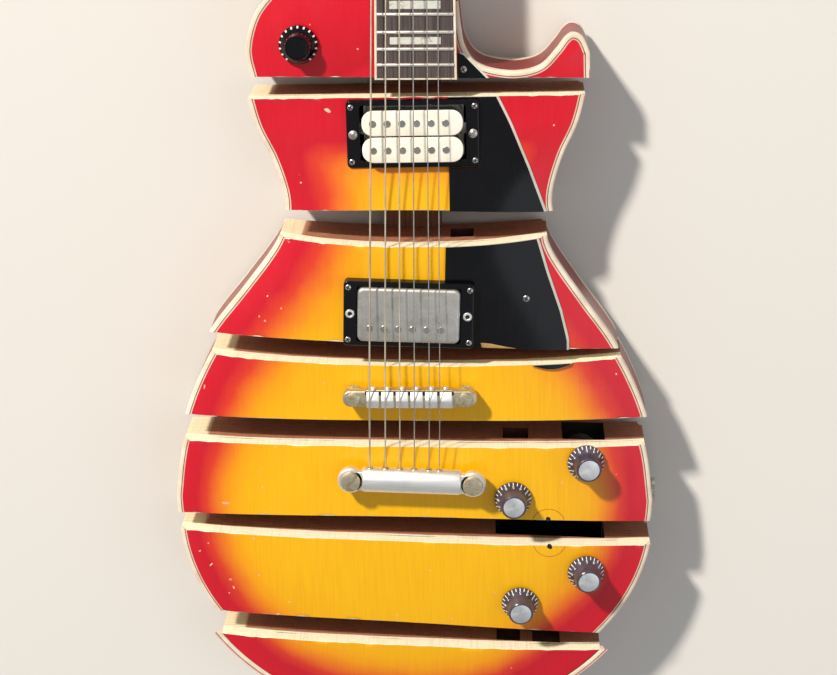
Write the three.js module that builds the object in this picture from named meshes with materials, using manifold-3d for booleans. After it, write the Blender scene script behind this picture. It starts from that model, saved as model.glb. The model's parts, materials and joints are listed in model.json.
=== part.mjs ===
// A broken electric guitar. Its carved body was sawn across into seven slices, which are
// spread apart along a batten let into their backs, with the strings still running over the gaps.
//
// Millimetres, +Z up. The guitar lies on its back with its face up and its neck along +Y;
// +X is the treble side. Everything is set out on the strings' centre line at x = 0, with
// y = 0 at the end of the fingerboard and z = 0 at the backs of the slices.

import * as THREE from 'three';
import { mergeVertices } from 'three/addons/utils/BufferGeometryUtils.js';
import Module from 'manifold-3d';

const wasm = await Module();
wasm.setup();

// Fits
const FIT = 0.3;                 // gap between pieces that touch, seat or turn in each other
const PAST = 1;                  // how far a cutting tool runs past the face it breaks through
const DEEP = 60;                 // a tool that only has to clear everything in its way

// Body outline, as it was before it was sawn
const RIM = 46;                  // thickness at the edge
const ARCH = 12;                 // how much the carved top rises above the edge
const ARCH_START = -5;           // the top is flat above this, and rises below it
const ARCH_FULL = -100;
const ARCH_FALL = -230;          // below this the top falls to the tail
const MIDDLE = 2.4;              // middle of the outline, off the strings' centre line
const BOUT = 168.5;              // half width of the lower bout
const BOUT_Y = -245;
const TAIL_LENGTH = 146;         // from the lower bout to the tail end
const TAIL_FLAT = 0.6;           // the last of the round tail, left as a flat
const FLANKS = [                 // half width at places from the widest bout up to the horn
  [BOUT_Y, BOUT], [-202, 161.5], [-158, 142.5], [-124, 118], [-102, 102], [-88, 93.4],
  [-78, 90.4], [-64, 91.6], [-43, 98], [-22, 107.6], [0, 113.2],
];
const SHOULDER = [               // bass side of the top slice, from its saw cut to the neck
  [-113.4, 18], [-108.6, 38], [-99.5, 52], [-84, 66], [-62, 77], [-40, 82], [-21, 83],
];
const CUTAWAY = [                // treble side, from the neck round the horn
  [27.8, 50], [29.8, 31], [32.3, 19.5], [38.9, 9.4], [50, 4.4], [66.4, 2.6], [81.9, 6.5],
  [92.4, 17.2], [98.3, 25.1], [103.6, 28.1], [110.1, 25.1], [114.8, 15],
];

// Saw cuts. y is the middle of a cut in the unsawn body, gap is the space that is there now.
// Each side of a cut has its own slope, in degrees, and its own sag towards the tail.
const KERF = 1.5;
const CUTS = [
  { y: -1.5, gap: 13.2, over: { slope: -0.4, sag: 0 }, under: { slope: -0.1, sag: 0 } },
  { y: -81.2, gap: 18.3, over: { slope: -0.9, sag: -2.8 }, under: { slope: 1.7, sag: 4.3 } },
  { y: -157.1, gap: 11.4, over: { slope: -0.7, sag: -0.6 }, under: { slope: -0.6, sag: 3.4 } },
  { y: -202.8, gap: 20.2, over: { slope: -0.3, sag: -0.6 }, under: { slope: -0.1, sag: -1.3 } },
  { y: -260.7, gap: 15.7, over: { slope: -0.5, sag: -4.6 }, under: { slope: -1.9, sag: -1.3 } },
  { y: -329.1, gap: 15.7, over: { slope: -3.5, sag: -3.1 }, under: { slope: -1.4, sag: -0.6 } },
];
// How far each slice sits off the neck's line, and how far it is turned, in degrees
const SEATS = [
  { shift: 0, turn: 0 }, { shift: -2.6, turn: 0.6 }, { shift: -6.8, turn: -1.7 },
  { shift: -6.6, turn: 0 }, { shift: -8.1, turn: -0.5 }, { shift: -7.1, turn: 0 },
  { shift: -9.8, turn: -1 },
];
const COLUMNS = 12;              // facets across a slice's top
const ROWS = 4;                  // and along it

// Batten that carries the slices
const SPINE_WIDTH = 38;
const SPINE_THICK = 18;
const SPINE_LET_IN = 8;          // depth of the channel in the slices' backs
const SPINE_X = -4.5;
const SPINE_TOP_Y = 52;
const SPINE_END_GAP = 18;        // from its lower end to the tail of the body

// Neck
const BOARD_RISE = 6;            // underside of the fingerboard above the body's edge
const BOARD_THICK = 6;
const SCALE = 628.65;
const FRETS = 22;
const BOARD_PAST_FRET = 9.9;     // wood past the last fret
const BOARD_END_WIDTH = 54.4;
const NUT_WIDTH = 43;
const FRET_WIDTH = 2.4;
const FRET_HEIGHT = 1.1;
const FRET_INSET = 1.6;          // the bound edge past a fret's end
const NUT_THICK = 4.8;
const NUT_HEIGHT = 8;
const NECK_PITCH = 1;            // degrees
const HEAD_PITCH = 9;            // degrees, past the neck's own
const HEAD_THICK = 14;
const HEAD_LENGTH = 168;
const NECK_EDGE = 1.2;           // square edge beside the fingerboard
const NECK_ROUND = 2.3;          // fullness of the neck's back
const NECK_DEPTH = 20;           // at the nut end
const NECK_TAPER = 4;            // how much deeper it is at the heel
const HEEL_Y = 50;
const HEEL_DEPTH = 42;
const HEEL_LENGTH = 48;
const TENON_WIDTH = 38;
const TENON_FLOOR = 20;          // height of the mortise's floor above the back
const TENON_END = 10;            // from the saw cut

// Tuners, three on a plate each side; y runs from the nut along the headstock
const TUNER_FIRST = 40;
const TUNER_PITCH = 40;
const TUNER_X = 24;
const POST_R = 3;
const POST_UP = 15;              // above the headstock
const SLEEVE_WALL = 1.2;
const COLLAR_R = 6;
const COLLAR_HIGH = 1.5;
const PLATE_THICK = 1.3;
const PLATE_WIDTH = 18;
const HOUSING_LONG = 21;
const HOUSING_DEEP = 10.5;
const KEY_R = 1.9;               // shaft of a tuner button
const KEY_DROP = 6.8;            // its axis under the plate
const KEY_IN = 9;                // how far it runs into the housing
const KEY_OUT = 12;              // and out of it, to the button
const BUTTON_LONG = 17;
const BUTTON_WIDE = 21;
const BUTTON_THICK = 7;

// Pickups
const RING_LENGTH = 89;
const RING_WIDTH = 46;
const RING_WALL = 5.2;           // rise of the neck pickup's ring
const BRIDGE_RING_WALL = 8;
const RING_CORNER = 3;
const RING_HOLE_LENGTH = 71;
const RING_HOLE_WIDTH = 39.4;
const EAR_LENGTH = 7;            // base plate past each end, under the ring's height screws
const HEIGHT_SCREW_R = 1.3;
const HEIGHT_HEAD_R = 2.7;
const HEIGHT_HEAD = 1.3;
const POCKET_DEPTH = 26;         // under the body's edge
const POCKET_GAP = 1.5;
const PICKUP_DROP = 12;          // from the body's edge down to the base plates
const BASE_THICK = 1.6;
const NECK_PICKUP = { x: 0.2, y: -26.05 };
const BOBBIN_LENGTH = 67.4;
const BOBBIN_WIDTH = 17.2;
const BOBBIN_GAP = 1;
const BOBBIN_TOP = 14.6;         // above the body's edge
const BRIDGE_PICKUP = { x: 0.6, y: -132 };
const COVER_LENGTH = 69.8;
const COVER_WIDTH = 38.4;
const COVER_TOP = 22.5;          // above the body's edge
const COVER_ROUND = 3;

// Bridge
const BRIDGE = { x: 0, y: -180.6 };
const BRIDGE_LENGTH = 92;
const BRIDGE_WIDTH = 11.5;
const BRIDGE_BAR = 8;            // height of its bar
const BRIDGE_RISE = 6;           // from the carved top to the bar
const BRIDGE_SPAN = 77;          // between its posts
const BRIDGE_POST_R = 3;
const WHEEL_R = 7;
const WHEEL_HIGH = 2.2;
const SADDLE_ROW = 60;
const SADDLE_BASE = 13.4;
const SADDLE_RISE = 4.4;         // a saddle's crest above the bar
const SADDLE_GAP = 1.6;
const SOCKET_DEPTH = 22;         // of posts and studs in the wood

// Tailpiece
const TAILPIECE = { x: 2.1, y: -223.5, skew: -1.5 };
const TAIL_BAR_LENGTH = 69;
const TAIL_BAR_WIDTH = 18;
const TAIL_BAR_HIGH = 12;
const TAIL_RISE = 6;             // from the carved top to the bar
const TAIL_SPAN = 85;            // between its studs
const LUG_R = 9;
const LUG_HIGH = 6;
const STUD_NECK_R = 3.6;
const STUD_HEAD_R = 7;
const STUD_HEAD = 3.2;
const STUD_FLANGE_R = 8;
const STUD_SCREW_R = 4;

// Pickguard
const GUARD_THICK = 2.2;
const GUARD_1 = [[28, 16], [33, 14.6], [51, -4]];
const GUARD_2 = [[56, 1], [66.5, -21], [78.5, -51], [90, -84]];
const GUARD_2_LEFT = 23.9;
const GUARD_3 = [[87.5, -80], [95, -103], [105, -130], [110.5, -150], [111, -160]];
const GUARD_3_LEFT = 24.6;

// Knobs and what turns under them
const KNOBS = [                  // inset is from the treble edge of the body
  { name: 'knob_upper_treble', pot: 'pot_upper_treble', slice: 4, inset: 43.9, y: -213.8 },
  { name: 'knob_upper_middle', pot: 'pot_upper_middle', slice: 4, inset: 97.7, y: -240.2 },
  { name: 'knob_lower_treble', pot: 'pot_lower_treble', slice: 5, inset: 41.7, y: -284.4 },
  { name: 'knob_lower_middle', pot: 'pot_lower_middle', slice: 5, inset: 78, y: -308 },
];
const SELECTOR = { name: 'selector_knob', pot: 'selector_switch', slice: 0, x: -77.9, y: 22 };
const SKIRT_R = 13;
const SKIRT_EDGE = 1.6;
const KNOB_WAIST_R = 9.4;
const CAP_R = 8.6;
const KNOB_HIGH = 16;
const SELECTOR_HIGH = 12.5;
const SELECTOR_CAP_R = 8.2;
const KNOB_LIFT = 2.2;           // skirt above the carved top
const SHAFT_R = 3;
const SHAFT_IN = 12;
const BUSH_WALL = 1.4;
const POT_R = 11.6;
const POT_DROP = 1.8;            // from the hollow's ceiling, so that it clears it when it leans
const POT_DEEP = 9;
const POT_NUT_R = 6.8;
const POT_NUT_HIGH = 1.2;
const KNOB_HOLLOW_R = 7.8;

// Hollow for the controls, open at the back, and the wire ways that meet it
const CEILING = RIM - 8;
const HOLLOW_ROOM = 2.4;         // beside the outer controls
const HOLLOW_TOP = -221;
const HOLLOW_BOTTOM = -321;
const ARM_ROOM = 4.4;            // beside the upper treble control, in the arm that goes up to it
const ARM_TOP = -195.5;
const SLOT_IN = 6;               // slot up the bass side, from the hollow's side
const SLOT_WIDTH = 18;
const SLOT_TOP = -204;
const SLOT_FLOOR = 18;
const TAIL_NOTCHES = [[3, 20], [29, 49]];  // from the hollow's bass side
const NOTCH_END = -335;
const NOTCH_FLOOR = 14;
const SELECTOR_WELL_R = 20;
const WIRE_WAY = { left: 27, right: 43, floor: 13, ceiling: 34 };

// Jack on the treble edge of the fifth slice, where the outline is widest
const JACK_Y = -246;
const JACK_Z = 24;
const JACK_BORE_R = 3.5;
const JACK_BUSH_R = 5.2;
const JACK_FLANGE_R = 8.5;
const JACK_FLANGE = 2.4;
const JACK_LENGTH = 24;
const JACK_FLOOR = 4;            // closed end of the socket

// Strap buttons
const STRAP_R = 7;
const STRAP_NECK_R = 4;
const STRAP_HIGH = 10;
const STRAP_SCREW_R = 1.8;
const STRAP_SCREW = 14;
const STRAP_ALONG = 0.82;        // how far round the shoulder the upper one is

// Strings: radius of each, and where each crosses the bridge
const STRINGS = [
  { name: 'string_6', r: 0.62, saddle: -27.2 }, { name: 'string_5', r: 0.54, saddle: -16.4 },
  { name: 'string_4', r: 0.48, saddle: -6.4 }, { name: 'string_3', r: 0.42, saddle: 3.6 },
  { name: 'string_2', r: 0.36, saddle: 13.8 }, { name: 'string_1', r: 0.34, saddle: 21 },
];
const NUT_SPREAD = 35.6;
const NUT_SHIFT = -1;
const WIND_HEIGHT = 7;           // where a string meets its post, above the headstock
const WIRE_SIDES = 6;

// Materials
const material = (color, roughness, metalness) =>
  new THREE.MeshStandardMaterial({ color, roughness, metalness });
const LACQUER = material(0xe8701c, 0.25, 0);
const BATTEN = material(0x4a2a20, 0.75, 0);
const MAHOGANY = material(0x6e2a20, 0.4, 0);
const ROSEWOOD = material(0x3a2320, 0.6, 0);
const BONE = material(0xe8e0cc, 0.45, 0);
const BLACK = material(0x15151a, 0.3, 0);
const CREAM = material(0xeee6cf, 0.35, 0);
const NICKEL = material(0xb4b2ac, 0.35, 1);
const WORN_METAL = material(0xcfc6a8, 0.45, 1);
const STEEL = material(0x8f8d88, 0.4, 1);

// Solids: three.js shapes turned into closed solids that can be cut and joined

function toSolid(shape) {
  let geometry = shape.clone();
  geometry.deleteAttribute('normal');
  geometry.deleteAttribute('uv');
  geometry = mergeVertices(geometry, 1e-4);
  const at = geometry.attributes.position.array;
  const corners = geometry.index.array;
  const faces = [];
  for (let i = 0; i < corners.length; i += 3) {
    const [a, b, c] = [corners[i], corners[i + 1], corners[i + 2]];
    if (a !== b && b !== c && c !== a) faces.push(a, b, c);
  }
  const signed = (list) => {
    let sum = 0;
    const p = (k) => new THREE.Vector3().fromArray(at, 3 * k);
    for (let i = 0; i < list.length; i += 3) {
      sum += p(list[i]).dot(p(list[i + 1]).cross(p(list[i + 2])));
    }
    return sum;
  };
  if (signed(faces) < 0) faces.reverse();
  return new wasm.Manifold(new wasm.Mesh({
    numProp: 3,
    vertProperties: new Float32Array(at),
    triVerts: new Uint32Array(faces),
  }));
}

function toGeometry(solid) {
  const mesh = solid.getMesh();
  const geometry = new THREE.BufferGeometry();
  geometry.setAttribute('position', new THREE.BufferAttribute(mesh.vertProperties, 3));
  geometry.setIndex(new THREE.BufferAttribute(mesh.triVerts, 1));
  geometry.computeVertexNormals();
  return geometry;
}

function named(name, solid, look) {
  const mesh = new THREE.Mesh(toGeometry(solid), look);
  mesh.name = name;
  return mesh;
}

const degrees = THREE.MathUtils.degToRad;
const moved = (x, y, z) => new THREE.Matrix4().makeTranslation(x, y, z);
const placed = (solid, matrix) => toSolid(toGeometry(solid).applyMatrix4(matrix));
const joined = (...solids) => solids.reduce((sum, next) => sum.add(next));

function block(x0, x1, y0, y1, z0, z1) {
  const box = new THREE.BoxGeometry(x1 - x0, y1 - y0, z1 - z0);
  return toSolid(box.translate((x0 + x1) / 2, (y0 + y1) / 2, (z0 + z1) / 2));
}

// A turned piece about its Z axis; the profile is [radius, height] and starts and ends at radius 0
function turned(profile, sides = 16) {
  const points = profile.map(([r, z]) => new THREE.Vector2(r, z));
  return toSolid(new THREE.LatheGeometry(points, sides).rotateX(Math.PI / 2));
}

const rod = (r, z0, z1, sides = 12) => turned([[0, z0], [r, z0], [r, z1], [0, z1]], sides);
const rodAt = (r, x, y, z0, z1, sides) => rod(r, z0, z1, sides).translate(x, y, 0);

function slab(shape, z0, z1, segments = 4) {
  const options = { depth: z1 - z0, bevelEnabled: false, curveSegments: segments };
  return toSolid(new THREE.ExtrudeGeometry(shape, options).translate(0, 0, z0));
}

function roundedRectangle(length, width, radius) {
  const [a, b] = [length / 2, width / 2];
  const shape = new THREE.Shape();
  shape.moveTo(-a + radius, -b);
  shape.lineTo(a - radius, -b);
  shape.absarc(a - radius, -b + radius, radius, -Math.PI / 2, 0, false);
  shape.lineTo(a, b - radius);
  shape.absarc(a - radius, b - radius, radius, 0, Math.PI / 2, false);
  shape.lineTo(-a + radius, b);
  shape.absarc(-a + radius, b - radius, radius, Math.PI / 2, Math.PI, false);
  shape.lineTo(-a, -b + radius);
  shape.absarc(-a + radius, -b + radius, radius, Math.PI, 1.5 * Math.PI, false);
  return shape;
}

const vectors = (points) => points.map(([x, y]) => new THREE.Vector2(x, y));

function polygon(points) {
  return new THREE.Shape(vectors(points));
}

// Skins a run of rings. Each ring is a list of points, first one face and then its partner
// back again, so that an end is closed by joining the partners.
function loft(rings) {
  const count = rings[0].length;
  const half = count / 2;
  const at = rings.flat().flatMap((p) => [p.x, p.y, p.z]);
  const faces = [];
  for (let r = 0; r + 1 < rings.length; r += 1) {
    for (let k = 0; k < count; k += 1) {
      const a = r * count + k;
      const b = r * count + ((k + 1) % count);
      faces.push(a, b, a + count, b, b + count, a + count);
    }
  }
  const last = (rings.length - 1) * count;
  for (let k = 0; k + 1 < half; k += 1) {
    const [a, b, c, d] = [k, k + 1, count - 2 - k, count - 1 - k];
    faces.push(a, c, b, a, d, c);
    faces.push(last + a, last + b, last + c, last + a, last + c, last + d);
  }
  const geometry = new THREE.BufferGeometry();
  geometry.setAttribute('position', new THREE.Float32BufferAttribute(at, 3));
  geometry.setIndex(faces);
  return toSolid(geometry);
}

// Body

const flankCurve = new THREE.SplineCurve(vectors(FLANKS));
const flankPoints = flankCurve.getPoints(120);

function halfWidth(y) {
  if (y <= BOUT_Y) {
    const down = Math.min((BOUT_Y - y) / TAIL_LENGTH, 1);
    return BOUT * Math.sqrt(1 - down * down);
  }
  const next = flankPoints.findIndex((p) => p.x >= y);
  if (next < 1) return next === 0 ? BOUT : flankPoints[flankPoints.length - 1].y;
  const [p, q] = [flankPoints[next - 1], flankPoints[next]];
  return p.y + (q.y - p.y) * (y - p.x) / (q.x - p.x);
}

function archAt(y) {
  const rise = THREE.MathUtils.smoothstep(ARCH_START - y, 0, ARCH_START - ARCH_FULL);
  const fallen = Math.max(ARCH_FALL - y, 0) / (ARCH_FALL - BOUT_Y + TAIL_LENGTH);
  return ARCH * rise * Math.max(1 - fallen * fallen, 0);
}

// Height of the carved top
function topAt(x, y) {
  const out = Math.min(Math.abs(x - MIDDLE) / halfWidth(y), 1);
  return RIM + archAt(y) * (1 - out ** 3);
}

const tailY = BOUT_Y - TAIL_LENGTH + TAIL_FLAT;

// The y of a saw cut's edge at x: side is the slice that lies over or under the cut
function edgeY(cut, side, x) {
  const { slope, sag } = cut[side];
  const start = cut.y + (side === 'over' ? KERF : -KERF) / 2;
  const across = Math.min(Math.abs(x - MIDDLE) / halfWidth(cut.y), 1);
  return start + Math.tan(degrees(slope)) * (x - MIDDLE) - sag * (1 - across * across);
}

// One slice of the carved body, between the saw cuts above and below it
function carvedSlice(index) {
  const above = CUTS[index - 1];
  const below = CUTS[index];
  const lower = (x) => (below ? edgeY(below, 'over', x) : tailY);
  const rings = [];
  const steps = below ? ROWS : 2 * ROWS;
  for (let row = 0; row <= steps; row += 1) {
    const along = below ? row / steps : Math.sin((Math.PI / 2) * (row / steps));
    const top = [];
    for (let column = 0; column <= COLUMNS; column += 1) {
      const u = Math.sin((Math.PI / 2) * (2 * column / COLUMNS - 1));
      const point = new THREE.Vector3(MIDDLE, (above.y + lower(MIDDLE)) / 2, 0);
      for (let pass = 0; pass < 12; pass += 1) {
        point.x = MIDDLE + u * halfWidth(point.y);
        point.y = THREE.MathUtils.lerp(edgeY(above, 'under', point.x), lower(point.x), along);
      }
      point.z = topAt(point.x, point.y);
      top.push(point);
    }
    const bottom = top.map((p) => new THREE.Vector3(p.x, p.y, 0)).reverse();
    rings.push([...top, ...bottom]);
  }
  return loft(rings);
}

// The top slice, with its shoulder, neck joint and cutaway horn. Its top is flat.
const topLeft = MIDDLE - halfWidth(CUTS[0].y);
const topRight = MIDDLE + halfWidth(CUTS[0].y);
const shoulderStart = new THREE.Vector2(topLeft, edgeY(CUTS[0], 'over', topLeft));
const shoulderCurve = new THREE.SplineCurve([shoulderStart, ...vectors(SHOULDER)]);

function topSlice() {
  const shape = new THREE.Shape();
  shape.moveTo(shoulderStart.x, shoulderStart.y);
  shape.splineThru(vectors(SHOULDER));
  shape.lineTo(...CUTAWAY[0]);
  shape.splineThru(vectors(CUTAWAY.slice(1)));
  shape.lineTo(topRight, edgeY(CUTS[0], 'over', topRight));
  return slab(shape, 0, RIM, 3);
}

// Where each slice sits: it is moved down by the gaps above it and turned about its own middle
function seatOf(index) {
  const spread = CUTS.slice(0, index).reduce((sum, cut) => sum + cut.gap - KERF, 0);
  const upper = index ? CUTS[index - 1].y : 0;
  const lower = CUTS[index] ? CUTS[index].y : tailY;
  const middle = (upper + lower) / 2;
  const { shift, turn } = SEATS[index];
  const seat = moved(shift + MIDDLE, middle - spread, 0);
  seat.multiply(new THREE.Matrix4().makeRotationZ(degrees(turn)));
  return seat.multiply(moved(-MIDDLE, -middle, 0));
}

const seats = SEATS.map((_, index) => seatOf(index));
const blanks = SEATS.map((_, index) => (index ? carvedSlice(index) : topSlice()));
const tailEnd = new THREE.Vector3(MIDDLE, tailY, 0).applyMatrix4(seats[seats.length - 1]);

// A plate that follows the carved top of a slice inside an outline
function skin(blank, shape, thick) {
  const column = slab(shape, 0, RIM + ARCH + thick + PAST);
  const raised = blank.translate(0, 0, FIT + thick);
  return column.intersect(raised).subtract(blank.translate(0, 0, FIT));
}

// Batten

const spineLow = SPINE_LET_IN - SPINE_THICK;
const spineLeft = SPINE_X - SPINE_WIDTH / 2;
const spineRight = SPINE_X + SPINE_WIDTH / 2;
const spineTail = tailEnd.y + SPINE_END_GAP;
const spine = block(spineLeft, spineRight, spineTail, SPINE_TOP_Y, spineLow, SPINE_LET_IN);
const spineChannel = block(
  spineLeft - FIT, spineRight + FIT, spineTail - FIT, SPINE_TOP_Y + FIT,
  spineLow, SPINE_LET_IN + FIT,
);

// Pickups. Each hangs in its ring on two height screws, over a pocket in the slice.

function pickupPocket({ x, y }) {
  const long = RING_HOLE_LENGTH / 2 + EAR_LENGTH + POCKET_GAP;
  const wide = COVER_WIDTH / 2 + POCKET_GAP;
  return block(x - long, x + long, y - wide, y + wide, RIM - POCKET_DEPTH, DEEP + RIM);
}

const earX = (RING_HOLE_LENGTH / 2 + RING_LENGTH / 2) / 2;

function pickupRing(blank, { x, y }, top) {
  const outer = slab(roundedRectangle(RING_LENGTH, RING_WIDTH, RING_CORNER), RIM - PAST, top);
  const hole = slab(
    roundedRectangle(RING_HOLE_LENGTH, RING_HOLE_WIDTH, RING_CORNER), 0, top + PAST,
  );
  let ring = outer.subtract(hole);
  for (const side of [-1, 1]) {
    ring = ring.subtract(rodAt(HEIGHT_SCREW_R + FIT, side * earX, 0, 0, top + PAST, 12));
  }
  return ring.translate(x, y, 0).subtract(blank.translate(0, 0, FIT));
}

// Base plate with its ears and the height screws that hold it up in the ring
function pickupBase(length, ringTop) {
  const floor = RIM - PICKUP_DROP;
  const reach = earX + EAR_LENGTH / 2;
  const plate = block(-length / 2, length / 2, -COVER_WIDTH / 2, COVER_WIDTH / 2,
    floor, floor + BASE_THICK);
  const strap = block(-reach, reach, -EAR_LENGTH / 2, EAR_LENGTH / 2, floor, floor + BASE_THICK);
  const screws = [-1, 1].map((side) => turned([
    [0, floor], [HEIGHT_SCREW_R, floor], [HEIGHT_SCREW_R, ringTop + FIT],
    [HEIGHT_HEAD_R, ringTop + FIT], [HEIGHT_HEAD_R, ringTop + FIT + HEIGHT_HEAD / 2],
    [HEIGHT_HEAD_R / 2, ringTop + FIT + HEIGHT_HEAD], [0, ringTop + FIT + HEIGHT_HEAD],
  ], 12).translate(side * earX, 0, 0));
  return joined(plate, strap, ...screws);
}

const neckRingTop = topAt(NECK_PICKUP.x, NECK_PICKUP.y) + RING_WALL;
const bridgeRingTop = topAt(BRIDGE_PICKUP.x, BRIDGE_PICKUP.y) + BRIDGE_RING_WALL;

function bobbin(side) {
  const low = RIM - PICKUP_DROP + BASE_THICK + FIT;
  const y = side * (BOBBIN_WIDTH + BOBBIN_GAP) / 2;
  const core = slab(roundedRectangle(BOBBIN_LENGTH, BOBBIN_WIDTH, BOBBIN_WIDTH / 2.4),
    low, RIM + BOBBIN_TOP);
  return core.translate(NECK_PICKUP.x, NECK_PICKUP.y + y, 0);
}

function coveredPickup() {
  const low = RIM - PICKUP_DROP;
  const lid = RIM + COVER_TOP;
  const inset = COVER_ROUND / 2;
  const wall = slab(roundedRectangle(COVER_LENGTH, COVER_WIDTH, COVER_ROUND), low, lid - inset);
  const face = slab(roundedRectangle(COVER_LENGTH - 2 * inset, COVER_WIDTH - 2 * inset,
    COVER_ROUND - inset / 2), low, lid);
  const held = joined(wall, face, pickupBase(COVER_LENGTH, bridgeRingTop));
  return held.translate(BRIDGE_PICKUP.x, BRIDGE_PICKUP.y, 0);
}

// Controls. Each stands square to the carved top, so its own frame starts on the surface.

const trebleEdge = (y) => MIDDLE + halfWidth(y);
KNOBS.forEach((knob) => { knob.x = trebleEdge(knob.y) - knob.inset; });

function controlSeat({ x, y }) {
  const slope = (dx, dy) => (topAt(x + dx, y + dy) - topAt(x - dx, y - dy)) / 2;
  const square = new THREE.Vector3(-slope(1, 0), -slope(0, 1), 1).normalize();
  const lean = new THREE.Quaternion().setFromUnitVectors(new THREE.Vector3(0, 0, 1), square);
  return moved(x, y, topAt(x, y)).multiply(new THREE.Matrix4().makeRotationFromQuaternion(lean));
}

function potUnder(control) {
  const bush = SHAFT_R + FIT + BUSH_WALL;
  const under = CEILING - topAt(control.x, control.y) - POT_DROP;
  const body = turned([
    [0, under - POT_DEEP], [POT_R, under - POT_DEEP], [POT_R, under], [bush, under],
    [bush, FIT], [POT_NUT_R, FIT], [POT_NUT_R, FIT + POT_NUT_HIGH], [0, FIT + POT_NUT_HIGH],
  ]);
  return body.subtract(rod(SHAFT_R + FIT, -SHAFT_IN, DEEP));
}

const potHole = (control) => placed(
  rod(SHAFT_R + BUSH_WALL + 2 * FIT, -DEEP / 2, DEEP / 2), controlSeat(control),
);

function knobOver(high, capR) {
  const roof = KNOB_LIFT + POT_NUT_HIGH + FIT;
  return turned([
    [0, FIT - SHAFT_IN], [SHAFT_R, FIT - SHAFT_IN], [SHAFT_R, roof],
    [KNOB_HOLLOW_R, roof], [KNOB_HOLLOW_R, KNOB_LIFT], [SKIRT_R, KNOB_LIFT],
    [SKIRT_R, KNOB_LIFT + SKIRT_EDGE], [KNOB_WAIST_R, KNOB_LIFT + high / 2.6],
    [capR, KNOB_LIFT + high - 1], [capR - 1, KNOB_LIFT + high], [0, KNOB_LIFT + high],
  ], 18);
}

// Hollows cut into the slices, in the unsawn body

const treblePlaces = KNOBS.map(({ x }) => x);
const hollowLeft = Math.min(...treblePlaces) - POT_R - HOLLOW_ROOM;
const hollowRight = Math.max(...treblePlaces) + POT_R + HOLLOW_ROOM;
const armLeft = KNOBS[0].x - POT_R - ARM_ROOM;
const slotLeft = hollowLeft + SLOT_IN;

function hollow() {
  return joined(
    block(hollowLeft, hollowRight, HOLLOW_BOTTOM, HOLLOW_TOP, -PAST, CEILING),
    block(armLeft, hollowRight, HOLLOW_TOP - PAST, ARM_TOP, -PAST, CEILING),
    block(slotLeft, slotLeft + SLOT_WIDTH, HOLLOW_TOP - PAST, SLOT_TOP, SLOT_FLOOR, CEILING),
    ...TAIL_NOTCHES.map(([x0, x1]) => block(hollowLeft + x0, hollowLeft + x1,
      NOTCH_END, HOLLOW_BOTTOM + PAST, NOTCH_FLOOR, CEILING)),
  );
}

// Above the fourth cut only the end of the arm reaches in, and stays short of the back
function armEnd() {
  const mouth = CUTS[3].y - 2 * KERF;
  return block(armLeft, hollowRight, mouth, ARM_TOP, NOTCH_FLOOR, CEILING);
}

function wireWay(from, to) {
  return block(WIRE_WAY.left, WIRE_WAY.right, to.y, from.y, WIRE_WAY.floor, WIRE_WAY.ceiling);
}

// Jack, as it lies with its axis along X; its mouth is at x = 0 and opens towards +X
function jackSocket() {
  const turnedAlong = turned([
    [0, -JACK_LENGTH], [JACK_BUSH_R, -JACK_LENGTH], [JACK_BUSH_R, -JACK_FLANGE],
    [JACK_FLANGE_R, -JACK_FLANGE], [JACK_FLANGE_R, 0], [0, 0],
  ]).subtract(rod(JACK_BORE_R, JACK_FLOOR - JACK_LENGTH, PAST));
  return placed(turnedAlong, new THREE.Matrix4().makeRotationY(Math.PI / 2));
}

const jackWall = Math.max(...[-1, 0, 1].map((end) => trebleEdge(JACK_Y + end * JACK_FLANGE_R)));
const jackMatrix = moved(jackWall + FIT + JACK_FLANGE, JACK_Y, JACK_Z);
const jackBore = placed(
  rod(JACK_BUSH_R + FIT, -JACK_LENGTH - PAST, DEEP / 2),
  new THREE.Matrix4().makeRotationY(Math.PI / 2).premultiply(jackMatrix),
);

// Strap buttons: turned, with the screw that holds them, along the way they point

function strapButton() {
  return turned([
    [0, -STRAP_SCREW], [STRAP_SCREW_R, -STRAP_SCREW], [STRAP_SCREW_R, 0], [STRAP_R, 0],
    [STRAP_NECK_R, STRAP_HIGH / 3], [STRAP_R, STRAP_HIGH * 0.8], [STRAP_R * 0.8, STRAP_HIGH],
    [0, STRAP_HIGH],
  ], 12);
}
const strapHole = () => rod(STRAP_SCREW_R + FIT, -STRAP_SCREW - FIT, DEEP / 4, 12);
const towardsNeck = new THREE.Matrix4().makeRotationX(-Math.PI / 2);
const towardsTail = new THREE.Matrix4().makeRotationX(Math.PI / 2);
const strapFoot = shoulderCurve.getPoint(STRAP_ALONG);
const shoulderRun = shoulderCurve.getTangent(STRAP_ALONG);
const strapSeats = [
  moved(strapFoot.x, strapFoot.y, RIM / 2)
    .multiply(new THREE.Matrix4().makeRotationZ(Math.atan2(shoulderRun.y, shoulderRun.x)))
    .multiply(moved(0, FIT, 0)).multiply(towardsNeck),
  moved(MIDDLE, tailY - FIT, RIM / 2).multiply(towardsTail),
];

// Bridge and tailpiece

const bridgeTop = topAt(BRIDGE.x, BRIDGE.y);
const barLow = bridgeTop + BRIDGE_RISE;
const barHigh = barLow + BRIDGE_BAR;
const saddleTop = barHigh + SADDLE_RISE;
const postXs = [-1, 1].map((side) => BRIDGE.x + side * BRIDGE_SPAN / 2);

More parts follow.
